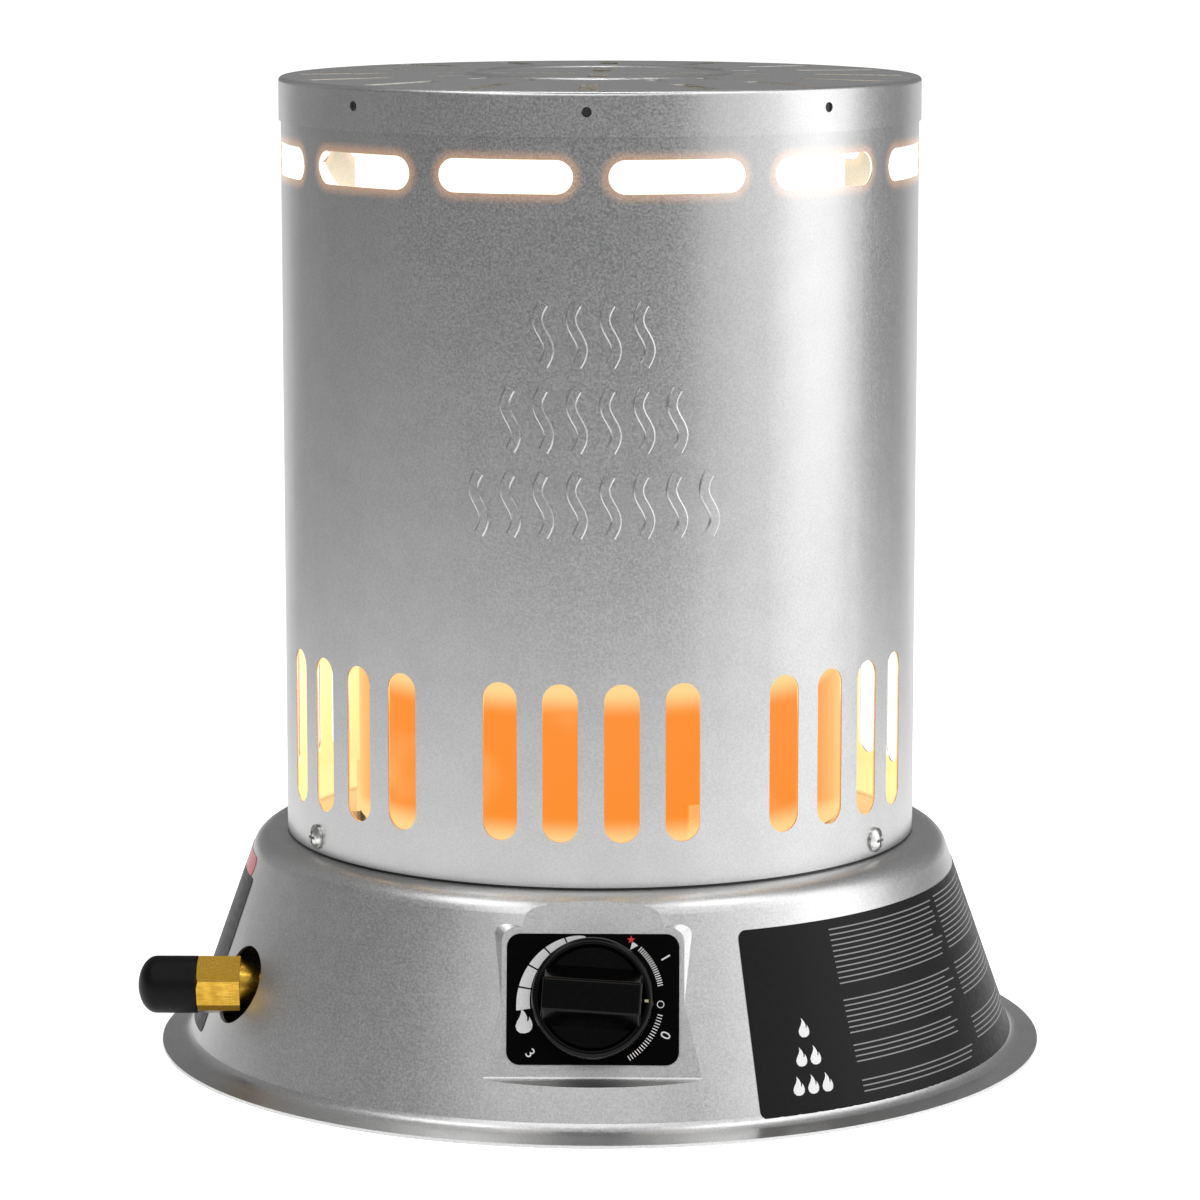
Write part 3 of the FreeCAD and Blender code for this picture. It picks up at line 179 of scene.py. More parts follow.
# The CAD pieces that wear each plain finish
WORN = {
    "base_steel": ("base_housing",),
    "cup_steel": ("inlet_cup",),
    "cap_steel": ("top_grille",),
    "zinc_screw": ("shell_screws", "bracket_screws", "burner_screws", "panel_nut"),
    "cast_valve": ("valve_body",),
    "drawn_tube": ("inlet_tube", "outlet_tube", "valve_stem", "return_spring", "thermocouple"),
    "burner_steel": ("burner_tube", "burner_head", "port_plate", "flame_spreader", "spreader_posts"),
    "copper_lead": ("thermocouple_lead",),
    "knob_black": ("knob",),
    "plate_black": ("control_plate",),
    "vinyl_black": ("dust_cap",),
    "lead_black": ("ignition_lead", "piezo_unit"),
    "ceramic_white": ("spark_electrode",),
}
BRASS_PIECES = (
    "inlet_fitting", "inlet_locknut", "orifice_elbow", "orifice_nozzle", "valve_plug", "tube_nuts")
INNER_PIECES = ("heat_shield", "burner_bracket", "liner_feet", "top_spacers", "probe_clips")

# Heat waves: points along one, sides of its round section, how late its ends round off, its flanks
WAVE_POINTS, WAVE_SIDES, WAVE_END_POWER, WAVE_END_LEFT, WAVE_FLANK = 33, 16, 14.0, 1.02, 3.4

# The heat scale left of the knob: its angles, inner radius, how far that drifts, and its width
SCALE_START, SCALE_END, SCALE_GAP = radians(97), radians(190), radians(1.4)
SCALE_RADIUS, SCALE_DRIFT = 20.6 * MM, 0.5 * MM
SCALE_THIN, SCALE_SWELL, SCALE_POWER = 0.5 * MM, 4.2 * MM, 0.7

# Marks on the plate, placed right and up from the knob's middle
DIAL_FLAME, DIAL_FLAME_AT, DIAL_FLAME_TURN = 8.6 * MM, (-22.6 * MM, -11.4 * MM), radians(8)
RING_INSIDE, RING_OUTSIDE, RING_AT, RING_STEPS = 0.95 * MM, 1.25 * MM, (22.6 * MM, -1.6 * MM), 32
ARROW = ((-1.2 * MM, -0.1 * MM), (1.2 * MM, -0.1 * MM), (0.0, 2.6 * MM))
ARROW_AT, ARROW_TURN = (14.0 * MM, 18.6 * MM), radians(142)
STAR, STAR_AT = 1.5 * MM, (12.7 * MM, 19.9 * MM)
NUMBER_SIZE = 4.8 * MM
NUMBERS = {"0": (27.2 * MM, radians(-26)), "1": (27.8 * MM, radians(30)),
           "3": (27.6 * MM, radians(221))}
TICK_ARCS = ((radians(12), radians(47)), (radians(-13), radians(-58)))
POINTER_IN, POINTER_OUT, POINTER_HALF, POINTER_TURN = 17.4 * MM, 18.7 * MM, 0.45 * MM, radians(-3.5)

# Cone panels. Azimuths are counted from the photo's direction.
PANEL_SINK = 0.05 * MM
CONE_MIDDLE = 29 * MM
RIGHT_FIRST, RIGHT_LAST = radians(21.35), radians(100)
RIGHT_LOW, RIGHT_HIGH, RIGHT_CORNER = 4.1 * MM, 64.4 * MM, 3 * MM
RIGHT_COLUMNS, LEFT_COLUMNS, PANEL_ROWS, BAND_ROWS = 96, 48, 8, 2
LEFT_FIRST, LEFT_LAST = radians(-74.8), radians(-128)
LEFT_LOW, LEFT_HIGH, LEFT_CORNER = 9.0 * MM, 63.5 * MM, 2 * MM
BAND_HIGH, BAND_CORNER, BAND_INSET = 70.0 * MM, 3 * MM, radians(1.6)
FILM_SCALE, FILM_LIGHT, FILM_SMOOTH, FILM_ROUGH = 500.0, 1.5, 0.40, 0.48
RIGHT_TONE, LEFT_TONE = 0.003, 0.004

# Blocks of rules: rows, height of the top rule in mm, first and last azimuth in degrees
RULE_BLOCKS = (
    (11, 61.0, 37.3, 64.4), (7, 38.0, 37.3, 64.4), (4, 23.4, 37.4, 61.0), (3, 12.0, 37.6, 64.4),
    (11, 61.6, 65.6, 86.0), (7, 38.6, 65.6, 86.0), (5, 20.0, 65.6, 86.0))
RULE_SHORTEST, RULE_BENDS = 0.86, 14

# Rows of one, two and three flames
STEP_ROWS, STEP_AZIMUTH, STEP_TOP = 3, radians(29.6), 28.5 * MM
STEP_DROP, STEP_PITCH, STEP_FLAME = 9.0 * MM, 5.4 * MM, 6.2 * MM

# Lights: azimuth in degrees, height, distance, width, length and the power's name
LIGHTS = {
    "key_light": (82, 0.55, 1.4, 0.9, 1.6, "key_power"),
    "side_light": (48, 0.6, 1.6, 0.8, 1.6, "side_power"),
    "top_light": (-9, 1.35, 1.6, 2.0, 0.9, "top_power"),
    "overhead_left": (-58, 1.7, 1.0, 0.6, 0.6, "overhead_power"),
    "overhead_right": (58, 1.7, 1.0, 0.6, 0.6, "overhead_power"),
    "crown_light": (180, 1.7, 0.25, 0.8, 0.35, "crown_power"),
    "fill_light": (-125, 0.5, 1.6, 0.8, 1.4, "fill_power"),
}
LIGHT_AIM = Vector((0, 0, 0.18))
ROOM_GREY = 0.22
FLOOR_RADIUS, FLOOR_SIDES = 18.0, 64
# The floor's painted light round the heater and in a wedge behind it, and the painted shade that greys it in
# front
FLOOR_NEAR, FLOOR_NEAR_END, FLOOR_NEAR_GLOW = 0.45, 1.1, 0.62
WEDGE_SLOPE, WEDGE_START, WEDGE_END, WEDGE_GLOW = 1.3, -0.15, 0.35, 0.9
FRONT_START, FRONT_END, FRONT_SHADE_GREY, FLOOR_GREY = -1.1, -0.5, 0.35, 0.94
SENSOR = 36.0

# The cap over the gas inlet: its round end, the flat in its middle, and its bore and where that ends
CAP_DOME, CAP_FLAT, CAP_BORE, CAP_END = 6.5 * MM, 1.0 * MM, 8.0 * MM, 5.7 * MM
CAP_SIDES, DOME_STEPS, CAP_SHARP = 64, 16, radians(40)


def joint(name):
    return next(j for j in frame["joints"] if j["name"] == name)


def assign(material, *nodes):
    for node in nodes:
        mesh = frame["nodes"][node].data
        mesh.materials.clear()
        mesh.materials.append(material)


def linked(name, data):
    made = bpy.data.objects.new(name, data)
    bpy.context.collection.objects.link(made)
    return made


def meshed(name, vertices, faces, material):
    mesh = bpy.data.meshes.new(name)
    mesh.from_pydata([tuple(v) for v in vertices], [], faces)
    mesh.materials.append(material)
    mesh.update()
    if not mesh.polygons:
        raise RuntimeError(f"{name} came out empty")
    return linked(name, mesh)


def new_object(name, vertices, faces, material, body):
    made = meshed(name, vertices, faces, material)
    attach(made, body)
    return made


class Wire:
    """An output socket with the arithmetic that patterns are written in."""

    def __init__(self, tree, socket):
        self.tree = tree
        self.socket = socket

    def maths(self, operation, *values, **settings):
        inputs = {i: v for i, v in enumerate((self, *values))}
        return self.tree.make("ShaderNodeMath", inputs, operation=operation, **settings)

    def __add__(self, other):
        return self.maths("ADD", other)

    __radd__ = __add__

    def __sub__(self, other):
        return self.maths("SUBTRACT", other)

    def __rsub__(self, other):
        return self.tree.make("ShaderNodeMath", {0: other, 1: self}, operation="SUBTRACT")

    def __mul__(self, other):
        return self.maths("MULTIPLY", other)

    __rmul__ = __mul__

    def __truediv__(self, other):
        return self.maths("DIVIDE", other)

    def __pow__(self, other):
        return self.maths("POWER", other)

    def __neg__(self):
        return self.maths("MULTIPLY", -1.0)

    def __abs__(self):
        return self.maths("ABSOLUTE")

    def above(self, other):
        return self.maths("GREATER_THAN", other)

    def below(self, other):
        return self.maths("LESS_THAN", other)

    def largest(self, other):
        return self.maths("MAXIMUM", other)

    def smallest(self, other):
        return self.maths("MINIMUM", other)

    def smooth(self, low, high, start=0.0, end=1.0):
        inputs = {"Value": self, "From Min": low, "From Max": high, "To Min": start, "To Max": end}
        return self.tree.make("ShaderNodeMapRange", inputs, interpolation_type="SMOOTHSTEP")

    def blend(self, first, second):
        """A colour that goes from first to second as this value goes from 0 to 1."""
        inputs = {0: self, 6: first, 7: second}
        return self.tree.make("ShaderNodeMix", inputs, output=2, data_type="RGBA")


class Tree:
    """A node tree whose nodes are made and wired in one call each."""

    def __init__(self, node_tree):
        self.nodes = node_tree.nodes
        self.links = node_tree.links

    def make(self, kind, inputs=None, output=0, **settings):
        node = self.nodes.new(kind)
        for name, value in settings.items():
            setattr(node, name, value)
        for name, value in (inputs or {}).items():
            self.feed(node, name, value)
        return Wire(self, node.outputs[output]) if node.outputs else None

    def feed(self, node, name, value):
        if isinstance(value, Wire):
            self.links.new(value.socket, node.inputs[name])
        else:
            node.inputs[name].default_value = value

    def parts(self, vector):
        """The x, y and z of a vector."""
        split = self.make("ShaderNodeSeparateXYZ", {0: vector})
        return [Wire(self, socket) for socket in split.socket.node.outputs]

    def vector(self, x, y, z):
        return self.make("ShaderNodeCombineXYZ", {0: x, 1: y, 2: z})

    def place(self):
        return self.make("ShaderNodeTexCoord", output="Object")

    def noise(self, scale, detail=2.0, vector=None):
        inputs = {"Scale": scale, "Detail": detail, "Vector": vector or self.place()}
        return self.make("ShaderNodeTexNoise", inputs, output="Fac")


def grey(value):
    return (value, value, value, 1.0)


def new_material(name, **sockets):
    """A material, its tree and its surface node, with the named sockets set."""
    material = bpy.data.materials.new(name)
    material.use_nodes = True
    surface = material.node_tree.nodes["Principled BSDF"]
    for socket, value in sockets.items():
        surface.inputs[socket.replace("_", " ")].default_value = value
    return material, Tree(material.node_tree), surface


def bumped(tree, surface, height, depth, strength):
    inputs = {"Height": height, "Distance": depth, "Strength": strength}
    tree.feed(surface, "Normal", tree.make("ShaderNodeBump", inputs))


def patterned(tree, surface, pattern, first, second, rough, rougher):
    """Base colour and roughness that follow one pattern."""
    tree.feed(surface, "Base Color", pattern.smooth(LOW, HIGH).blend(first, second))
    tree.feed(surface, "Roughness", pattern.smooth(LOW, HIGH, rough, rougher))


def sheet_steel(name):
    """Galvanised sheet: grey metal with a fine speckle, a soft mottle and a slight orange peel."""
    tone, rough, grain = SHEETS[name]
    material, tree, surface = new_material(name, Metallic=1.0)
    speckle = tree.noise(SPECKLE_SCALE, 1.0)
    mottle = tree.noise(MOTTLE_SCALE, 3.0)
    pattern = speckle * SPECKLE_SHARE + mottle * MOTTLE_SHARE
    colour = pattern.smooth(LOW, HIGH).blend(grey(tone - grain), grey(tone + grain))
    tree.feed(surface, "Base Color", colour)
    tree.feed(surface, "Roughness", speckle.smooth(0.25, 0.75, rough - ROUGH_STRAY, rough + ROUGH_STRAY))
    bumped(tree, surface, tree.noise(PEEL_SCALE, 2.0), PEEL_DEPTH, PEEL_STRENGTH)
    return material, tree, surface


def burning_colour(tree, glow, place):
    """The colour of the fire by height: orange with cream ends in the low slots, white-hot at the top."""
    x, y, z = place
    middle = (LOW_SLOT_BOTTOM + LOW_SLOT_TOP) / 2 - PALE_DROP
    half = (LOW_SLOT_TOP - LOW_SLOT_BOTTOM) / 2
    ends = abs(z - middle).smooth(half * PALE_FROM, half)
    azimuth = abs(x.maths("ARCTAN2", -y))
    side = azimuth.smooth(SIDE_FROM, SIDE_TO, 0.0, SIDE_PALE)
    cloud = tree.noise(CLOUD_SCALE, 2.0).smooth(CLOUD_FROM, CLOUD_TO, 0.0, CLOUD_PALE)
    low = ends.largest(side).largest(cloud).blend((*glow.low_colour, 1.0), (*glow.pale_colour, 1.0))
    hot = z.smooth(HOT_SLOT_HEIGHT - HOT_FROM, HOT_SLOT_HEIGHT - HOT_TO)
    return hot.blend(low, (*glow.hot_colour, 1.0))


def radius_of(x, y):
    return (x * x + y * y) ** 0.5


def shell_steel(glow):
    """The shell's steel, with painted light: a painted glow on its inside stands in for the fire's light, and
    a painted halo round the hot slots stands in for their light on the sheet.
    """
    material, tree, surface = sheet_steel("shell_steel")
    x, y, z = tree.parts(tree.place())
    turn = 2 * pi / HOT_SLOTS
    azimuth = x.maths("ARCTAN2", -y) - SHELL_TURN - turn / 2
    along = abs(azimuth.maths("WRAP", turn / 2, -turn / 2)) * SHELL_RADIUS
    reach = HOT_SLOT_SPAN / 2 * SHELL_RADIUS - HOT_SLOT_HALF
    beyond = (along - reach).largest(0.0)
    away = (beyond * beyond + (z - HOT_SLOT_HEIGHT) ** 2.0) ** 0.5 - HOT_SLOT_HALF
    # Painted halo: emission round each hot slot stands in for the slot's light on the sheet.
    painted_halo = away.smooth(0.0, glow.halo_width, glow.halo_strength, 0.0)
    lit = painted_halo.blend(grey(0.0), PAINTED_HALO_COLOUR)
    # Painted glow on the shell's inner face stands in for the fire's light falling on it.
    reach_up = y.smooth(BACK_FROM, BACK_TO, LINER_TOP, HOT_SLOT_HEIGHT - BACK_DROP)
    inside = radius_of(x, y).below(SHELL_RADIUS - SHELL_SHEET / 2) * z.below(reach_up)
    fire = burning_colour(tree, glow, (x, y, z))
    tree.feed(surface, "Emission Color", inside.blend(lit, fire))
    tree.feed(surface, "Emission Strength", 1.0)
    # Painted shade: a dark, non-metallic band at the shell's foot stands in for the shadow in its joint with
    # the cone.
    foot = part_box("outer_shell")[0].z
    painted_shade = z.smooth(foot + SHADE_LINE * SHADE_LINE_SOLID, foot + SHADE_LINE, 1.0, 0.0)
    steel = Wire(tree, surface.inputs["Base Color"].links[0].from_socket)
    tree.feed(surface, "Base Color", painted_shade.blend(steel, grey(SHADE_LINE_GREY)))
    tree.feed(surface, "Metallic", 1.0 - painted_shade)
    return material


def plain_metal(name):
    """Bare metal with darker, duller wear."""
    colour, rough = METALS[name]
    material, tree, surface = new_material(name, Metallic=1.0)
    wear = tree.noise(WEAR_SCALE, 3.0)
    dark = (*[c * WEAR_DARK for c in colour], 1.0)
    patterned(tree, surface, wear, dark, (*colour, 1.0), rough, rough + WEAR_ROUGH)
    return material


def brushed_brass():
    """Brass with drawn lines along X, and painted shade that darkens the flats facing the floor."""
    material, tree, surface = new_material("brass", Metallic=1.0)
    x, y, z = tree.parts(tree.place())
    drawn = tree.vector(x * DRAWN_STRETCH, y, z)
    lines = tree.noise(DRAWN_SCALE, 2.0, drawn)
    stain = tree.noise(STAIN_SCALE, 3.0)
    # Painted shade: below this height the brass turns dark, standing in for the shade on the flats that face
    # the floor.
    low, high = (corner.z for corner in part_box("inlet_fitting"))
    edge = low + (high - low) * BRASS_EDGE_SHARE
    unshaded = z.smooth(edge - BRASS_EDGE_BLUR, edge + BRASS_EDGE_BLUR)
    pattern = lines * 0.5 + stain * 0.5
    colour = pattern.smooth(LOW, HIGH).blend(BRASS_DARK, BRASS_LIGHT)
    tree.feed(surface, "Base Color", unshaded.blend(BRASS_PAINTED_SHADE, colour))
    tree.feed(surface, "Roughness", pattern.smooth(LOW, HIGH, BRASS_DULL, BRASS_BRIGHT))
    bumped(tree, surface, lines, DRAWN_DEPTH, DRAWN_STRENGTH)
    return material


def plastic(name):
    """Moulded plastic or glaze with a fine grain."""
    colour, rough, coat, shine = PLASTICS[name]
    sockets = {"Coat_Weight": coat, "Coat_Roughness": 0.06, "Specular_IOR_Level": shine}
    material, tree, surface = new_material(name, **sockets)
    grain = tree.noise(GRAIN_SCALE, 2.0)
    lighter = (*[c * GRAIN_LIGHT for c in colour], 1.0)
    patterned(tree, surface, grain, (*colour, 1.0), lighter, rough, rough + GRAIN_ROUGH)
    bumped(tree, surface, grain, GRAIN_DEPTH, GRAIN_STRENGTH)
    return material


def ink(name):
    """Flat ink with faint flecks."""
    colour, rough = INKS[name]
    material, tree, surface = new_material(name)
    fleck = tree.noise(FLECK_SCALE, 1.0)
    dark = (*[c * FLECK_DARK for c in colour], 1.0)
    tree.feed(surface, "Base Color", fleck.smooth(0.35, 0.65).blend(dark, (*colour, 1.0)))
    tree.feed(surface, "Roughness", rough)
    return material


def glowing_liner(glow):
    """The combustion liner, whose outer face glows."""
    material, tree, surface = new_material("glowing_liner", Base_Color=grey(0.03), Roughness=0.8)
    x, y, z = tree.parts(tree.place())
    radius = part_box("combustion_liner")[1].x
    outside = radius_of(x, y).above(radius - LINER_SHEET / 2)
    tree.feed(surface, "Emission Color", outside.blend(grey(0.0), burning_colour(tree, glow, (x, y, z))))
    tree.feed(surface, "Emission Strength", glow.strength)
    return material


class HeaterGlow(bpy.types.PropertyGroup):
    """How the burning heater glows."""

    strength: FloatProperty(
        name="Strength", description="Emission strength of the combustion liner", default=1.0)
    low_colour: FloatVectorProperty(
        name="Low colour", description="Colour seen through the low slots",
        subtype="COLOR", default=(0.93, 0.25, 0.018))
    pale_colour: FloatVectorProperty(
        name="Pale colour", description="Colour at the ends of the low slots",
        subtype="COLOR", default=(1.0, 0.66, 0.27))
    hot_colour: FloatVectorProperty(
        name="Hot colour", description="Colour seen through the hot slots",
        subtype="COLOR", default=(1.6, 1.45, 1.15))
    halo_width: FloatProperty(
        name="Halo width", description="Reach of the light round each hot slot",
        default=4.0 * MM, unit="LENGTH")
    halo_strength: FloatProperty(
        name="Halo strength", description="Brightness of the light round each hot slot", default=0.28)


class HeaterWaves(bpy.types.PropertyGroup):
    """The raised heat waves on the front of the shell."""

    fewest: IntProperty(name="Fewest", description="Waves in the top row", default=4)
    more: IntProperty(name="More", description="Waves that each lower row has more", default=2)
    rows: IntProperty(name="Rows", description="Rows of waves", default=3)
    height: FloatProperty(
        name="Height", description="Height of a wave", default=20.5 * MM, unit="LENGTH")
    pitch: FloatProperty(
        name="Pitch", description="Distance between waves", default=11.2 * MM, unit="LENGTH")
    row_pitch: FloatProperty(
        name="Row pitch", description="Distance between rows", default=28.5 * MM, unit="LENGTH")
    top_row: FloatProperty(
        name="Top row", description="Height of the top row's middle", default=264.3 * MM, unit="LENGTH")
    stroke: FloatProperty(
        name="Stroke", description="Width of a wave's ridge", default=3.8 * MM, unit="LENGTH")
    sway: FloatProperty(
        name="Sway", description="Sideways swing of a wave", default=1.9 * MM, unit="LENGTH")
    rise: FloatProperty(
        name="Rise", description="Height of the ridge over the sheet", default=0.62 * MM, unit="LENGTH")


class HeaterDial(bpy.types.PropertyGroup):
    """The printed marks round the knob."""

    ticks: IntProperty(name="Ticks", description="Ticks on the right of the knob", default=19)
    tick_radius: FloatProperty(
        name="Tick radius", description="Middle of the ticks from the knob's axis",
        default=23.0 * MM, unit="LENGTH")
    tick_length: FloatProperty(
        name="Tick length", description="Length of a tick", default=1.8 * MM, unit="LENGTH")
    tick_width: FloatProperty(
        name="Tick width", description="Width of a tick", default=0.32 * MM, unit="LENGTH")
    segments: IntProperty(name="Segments", description="Parts of the heat scale", default=5)


class HeaterLabels(bpy.types.PropertyGroup):
    """The black panels on the cone."""

    lift: FloatProperty(
        name="Lift", description="Thickness of a panel over the sheet", default=0.15 * MM, unit="LENGTH")
    rule_width: FloatProperty(
        name="Rule width", description="Width of a printed rule", default=0.42 * MM, unit="LENGTH")
    rule_pitch: FloatProperty(
        name="Rule pitch", description="Distance between rules", default=1.75 * MM, unit="LENGTH")
    seed: IntProperty(name="Seed", description="Seed of the rules' lengths", default=3)


class HeaterStudio(bpy.types.PropertyGroup):
    """Light, floor and camera."""

    key_power: FloatProperty(
        name="Key power", description="Power of the tall light on the right", default=8.4, unit="POWER")
    top_power: FloatProperty(
        name="Top power", description="Power of the broad light over the camera", default=10.0, unit="POWER")
    side_power: FloatProperty(
        name="Side power", description="Power of the light right of the camera", default=3.6, unit="POWER")
    overhead_power: FloatProperty(
        name="Overhead power", description="Power of each light over the heater", default=5.4, unit="POWER")
    crown_power: FloatProperty(
        name="Crown power", description="Power of the light straight overhead", default=4.0, unit="POWER")
    fill_power: FloatProperty(
        name="Fill power", description="Power of the light on the left", default=0.4, unit="POWER")
    lens: FloatProperty(
        name="Lens", description="Focal length in millimetres for a 36 mm sensor", default=143.2)
    pitch: FloatProperty(
        name="Pitch", description="How far the camera looks down",
        default=radians(9.05), subtype="ANGLE")
    distance: FloatProperty(
        name="Distance", description="Camera to the heater's axis", default=1.6809, unit="LENGTH")
    height: FloatProperty(
        name="Height", description="Camera over the floor", default=0.4257, unit="LENGTH")


def ring_place(radius, lift):
    """Maps a flat drawing onto the shell: x goes round it and y goes up."""
    def place(point):
        angle = point.x / radius
        out = radius + point.z + lift
        return Vector((out * sin(angle), -out * cos(angle), point.y))
    return place


def cone_place(lift):
    """Maps a flat drawing onto the cone: x is the azimuth in radians and y the height."""
    normal = Vector((cos(CONE_LEAN), sin(CONE_LEAN)))

    def place(point):
        radius = CONE_FOOT_RADIUS - (point.y - CONE_FOOT_HEIGHT) * tan(CONE_LEAN)
        out = radius + (lift + point.z) * normal.x
        height = point.y + (lift + point.z) * normal.y
        return Vector((out * sin(point.x), -out * cos(point.x), height))
    return place


def plate_place(height):
    """Maps a flat drawing onto the control plate: x is right and y is up from the knob's middle."""
    turn = joint("valve_turn")
    outward = Vector(turn["axis"])
    middle = Vector(turn["pos_m"])
    right = Vector((1, 0, 0))
    up = outward.cross(right)
    if up.z < 0:
        up = -up

    def place(point):
        return middle + right * point.x + up * point.y + outward * (height + point.z)
    return place


def bent(name, drawn, place, material, body):
    """Objects drawn flat become one solid piece on a surface of the heater."""
    vertices, faces = [], []
    for points, polygons in drawn:
        start = len(vertices)
        vertices += [place(Vector(p)) for p in points]
        faces += [[start + i for i in polygon] for polygon in polygons]
    return new_object(name, vertices, faces, material, body)


def slab(columns, low, high):
    """A solid drawn flat from columns of points, each column running from bottom to top."""
    rows = len(columns[0])
    flat = [point for column in columns for point in column]
    count = len(flat)
    points = [(x, y, z) for z in (low, high) for x, y in flat]
    faces = []
    for start in range(0, count - rows, rows):
        for i in range(start, start + rows - 1):
            square = [i, i + rows, i + rows + 1, i + 1]
            faces.append([k + count for k in square])
            faces.append(square[::-1])
    last = count - rows
    rim = [*range(0, count, rows), *range(last + 1, count)]
    rim += [*range(last - 1, 0, -rows), *range(rows - 2, 0, -1)]
    for i, j in zip(rim, rim[1:] + rim[:1]):
        faces.append([i, j, j + count, i + count])
    return points, faces


def prism(outline, low, high):
    """A solid drawn flat from one outline, counted anticlockwise."""
    count = len(outline)
    points = [(x, y, low) for x, y in outline] + [(x, y, high) for x, y in outline]
    faces = [list(range(count, 2 * count)), list(range(count - 1, -1, -1))]
    for i in range(count):
        j = (i + 1) % count
        faces.append([i, j, j + count, i + count])
    return points, faces


def moved(outline, at, turn=0.0):
    """The outline turned about its origin, which then goes to this place."""
    c, s = cos(turn), sin(turn)
    return [(at[0] + c * x - s * y, at[1] + s * x + c * y) for x, y in outline]


def flame_outline(height):
    """A flame with a tall tongue and a short one, counted anticlockwise from its foot."""
    tongues = [(0.0, 0.0), (0.17, 0.03), (0.29, 0.13), (0.34, 0.28), (0.33, 0.43), (0.25, 0.62), (0.23, 0.50),
               (0.15, 0.43), (0.17, 0.62), (0.11, 0.80), (-0.04, 1.0), (-0.03, 0.83), (-0.11, 0.66),
               (-0.24, 0.49), (-0.32, 0.32), (-0.29, 0.15), (-0.17, 0.03)]
    return [(x * height, y * height) for x, y in tongues]


def star_outline(radius, points=5, waist=0.4):
    outline = []
    for i in range(2 * points):
        reach = radius if i % 2 == 0 else radius * waist
        angle = pi / 2 + pi * i / points
        outline.append((reach * cos(angle), reach * sin(angle)))
    return outline


def arc_columns(start, end, inner, outer, steps=12):
    """Columns of a curved band between two angles, its radii given as functions of the angle."""
    columns = []
    for i in range(steps + 1):
        angle = start + (end - start) * i / steps
        c, s = cos(angle), sin(angle)
        columns.append([(inner(angle) * c, inner(angle) * s), (outer(angle) * c, outer(angle) * s)])
    return columns


def group_tree(name, whole, real):
    """A geometry node tree with named inputs, whole numbers and real ones, and its wires."""
    group = bpy.data.node_groups.new(name, "GeometryNodeTree")
    inputs = {label: "NodeSocketInt" for label in whole}
    inputs.update({label: "NodeSocketFloat" for label in real})
    inputs["Material"] = "NodeSocketMaterial"
    for label, kind in inputs.items():
        group.interface.new_socket(label, in_out="INPUT", socket_type=kind)
    group.interface.new_socket("Geometry", in_out="OUTPUT", socket_type="NodeSocketGeometry")
    tree = Tree(group)
    entry = group.nodes.new("NodeGroupInput")
    wires = {label: Wire(tree, entry.outputs[label]) for label in inputs}
    return group, tree, wires


def finish_tree(tree, geometry, material):
    realized = tree.make("GeometryNodeRealizeInstances", {0: geometry})
    finished = tree.make("GeometryNodeSetMaterial", {"Geometry": realized, "Material": material})
    tree.make("NodeGroupOutput", {"Geometry": finished})


def drawn_by(group, values):
    """The points and faces that a geometry node tree draws for these input values."""
    mesh = bpy.data.meshes.new(group.name)
    holder = linked(group.name, mesh)
    modifier = holder.modifiers.new(group.name, "NODES")
    modifier.node_group = group
    for item in group.interface.items_tree:
        if item.in_out == "INPUT":
            modifier[item.identifier] = values[item.name]
    depsgraph = bpy.context.evaluated_depsgraph_get()
    made = bpy.data.meshes.new_from_object(holder.evaluated_get(depsgraph))
    points = [v.co.copy() for v in made.vertices]
    faces = [list(p.vertices) for p in made.polygons]
    holder.modifiers.clear()
    bpy.data.objects.remove(holder)
    bpy.data.meshes.remove(made)
    return points, faces


def ticks_tree():
    """Bars on an arc, each pointing away from its middle."""
    real = ("Radius", "First angle", "Last angle", "Length", "Width", "Rise")
    group, tree, given = group_tree("dial_ticks", ("Count",), real)
    index = tree.make("GeometryNodeInputIndex")
    step = (given["Last angle"] - given["First angle"]) / (given["Count"] - 1.0)
    angle = given["First angle"] + step * index
    radius = given["Radius"]
    place = tree.vector(angle.maths("COSINE") * radius, angle.maths("SINE") * radius, 0.0)
    line = tree.make("GeometryNodeMeshLine", {"Count": given["Count"]})
    points = tree.make("GeometryNodeSetPosition", {"Geometry": line, "Position": place})
    size = tree.vector(given["Length"], given["Width"], given["Rise"])
    bar = tree.make("GeometryNodeMeshCube", {"Size": size})
    turn = tree.make("FunctionNodeEulerToRotation", {0: tree.vector(0.0, 0.0, angle)})
    bars = tree.make("GeometryNodeInstanceOnPoints", {"Points": points, "Instance": bar, "Rotation": turn})
    finish_tree(tree, bars, given["Material"])
    return group


def rules_tree():
    """A block of ruled lines that start on one edge and end at a random length."""
    real = ("Pitch", "Length", "Shortest", "Width", "Rise")
    group, tree, given = group_tree("ruled_block", ("Rows", "Bends", "Seed"), real)
    step = tree.vector(0.0, -given["Pitch"], 0.0)
    line = tree.make("GeometryNodeMeshLine", {"Count": given["Rows"], "Offset": step})
    size = tree.vector(given["Length"], given["Width"], given["Rise"])
    bar = tree.make("GeometryNodeMeshCube", {"Size": size, "Vertices X": given["Bends"]})
    shift = tree.vector(given["Length"] / 2.0, 0.0, 0.0)
    bar = tree.make("GeometryNodeTransform", {"Geometry": bar, "Translation": shift})
    inputs = {2: given["Shortest"], 3: 1.0, "Seed": given["Seed"]}
    reach = tree.make("FunctionNodeRandomValue", inputs, output=1, data_type="FLOAT")
    scale = tree.vector(reach, 1.0, 1.0)
    bars = tree.make("GeometryNodeInstanceOnPoints", {"Points": line, "Instance": bar, "Scale": scale})
    finish_tree(tree, bars, given["Material"])
    return group


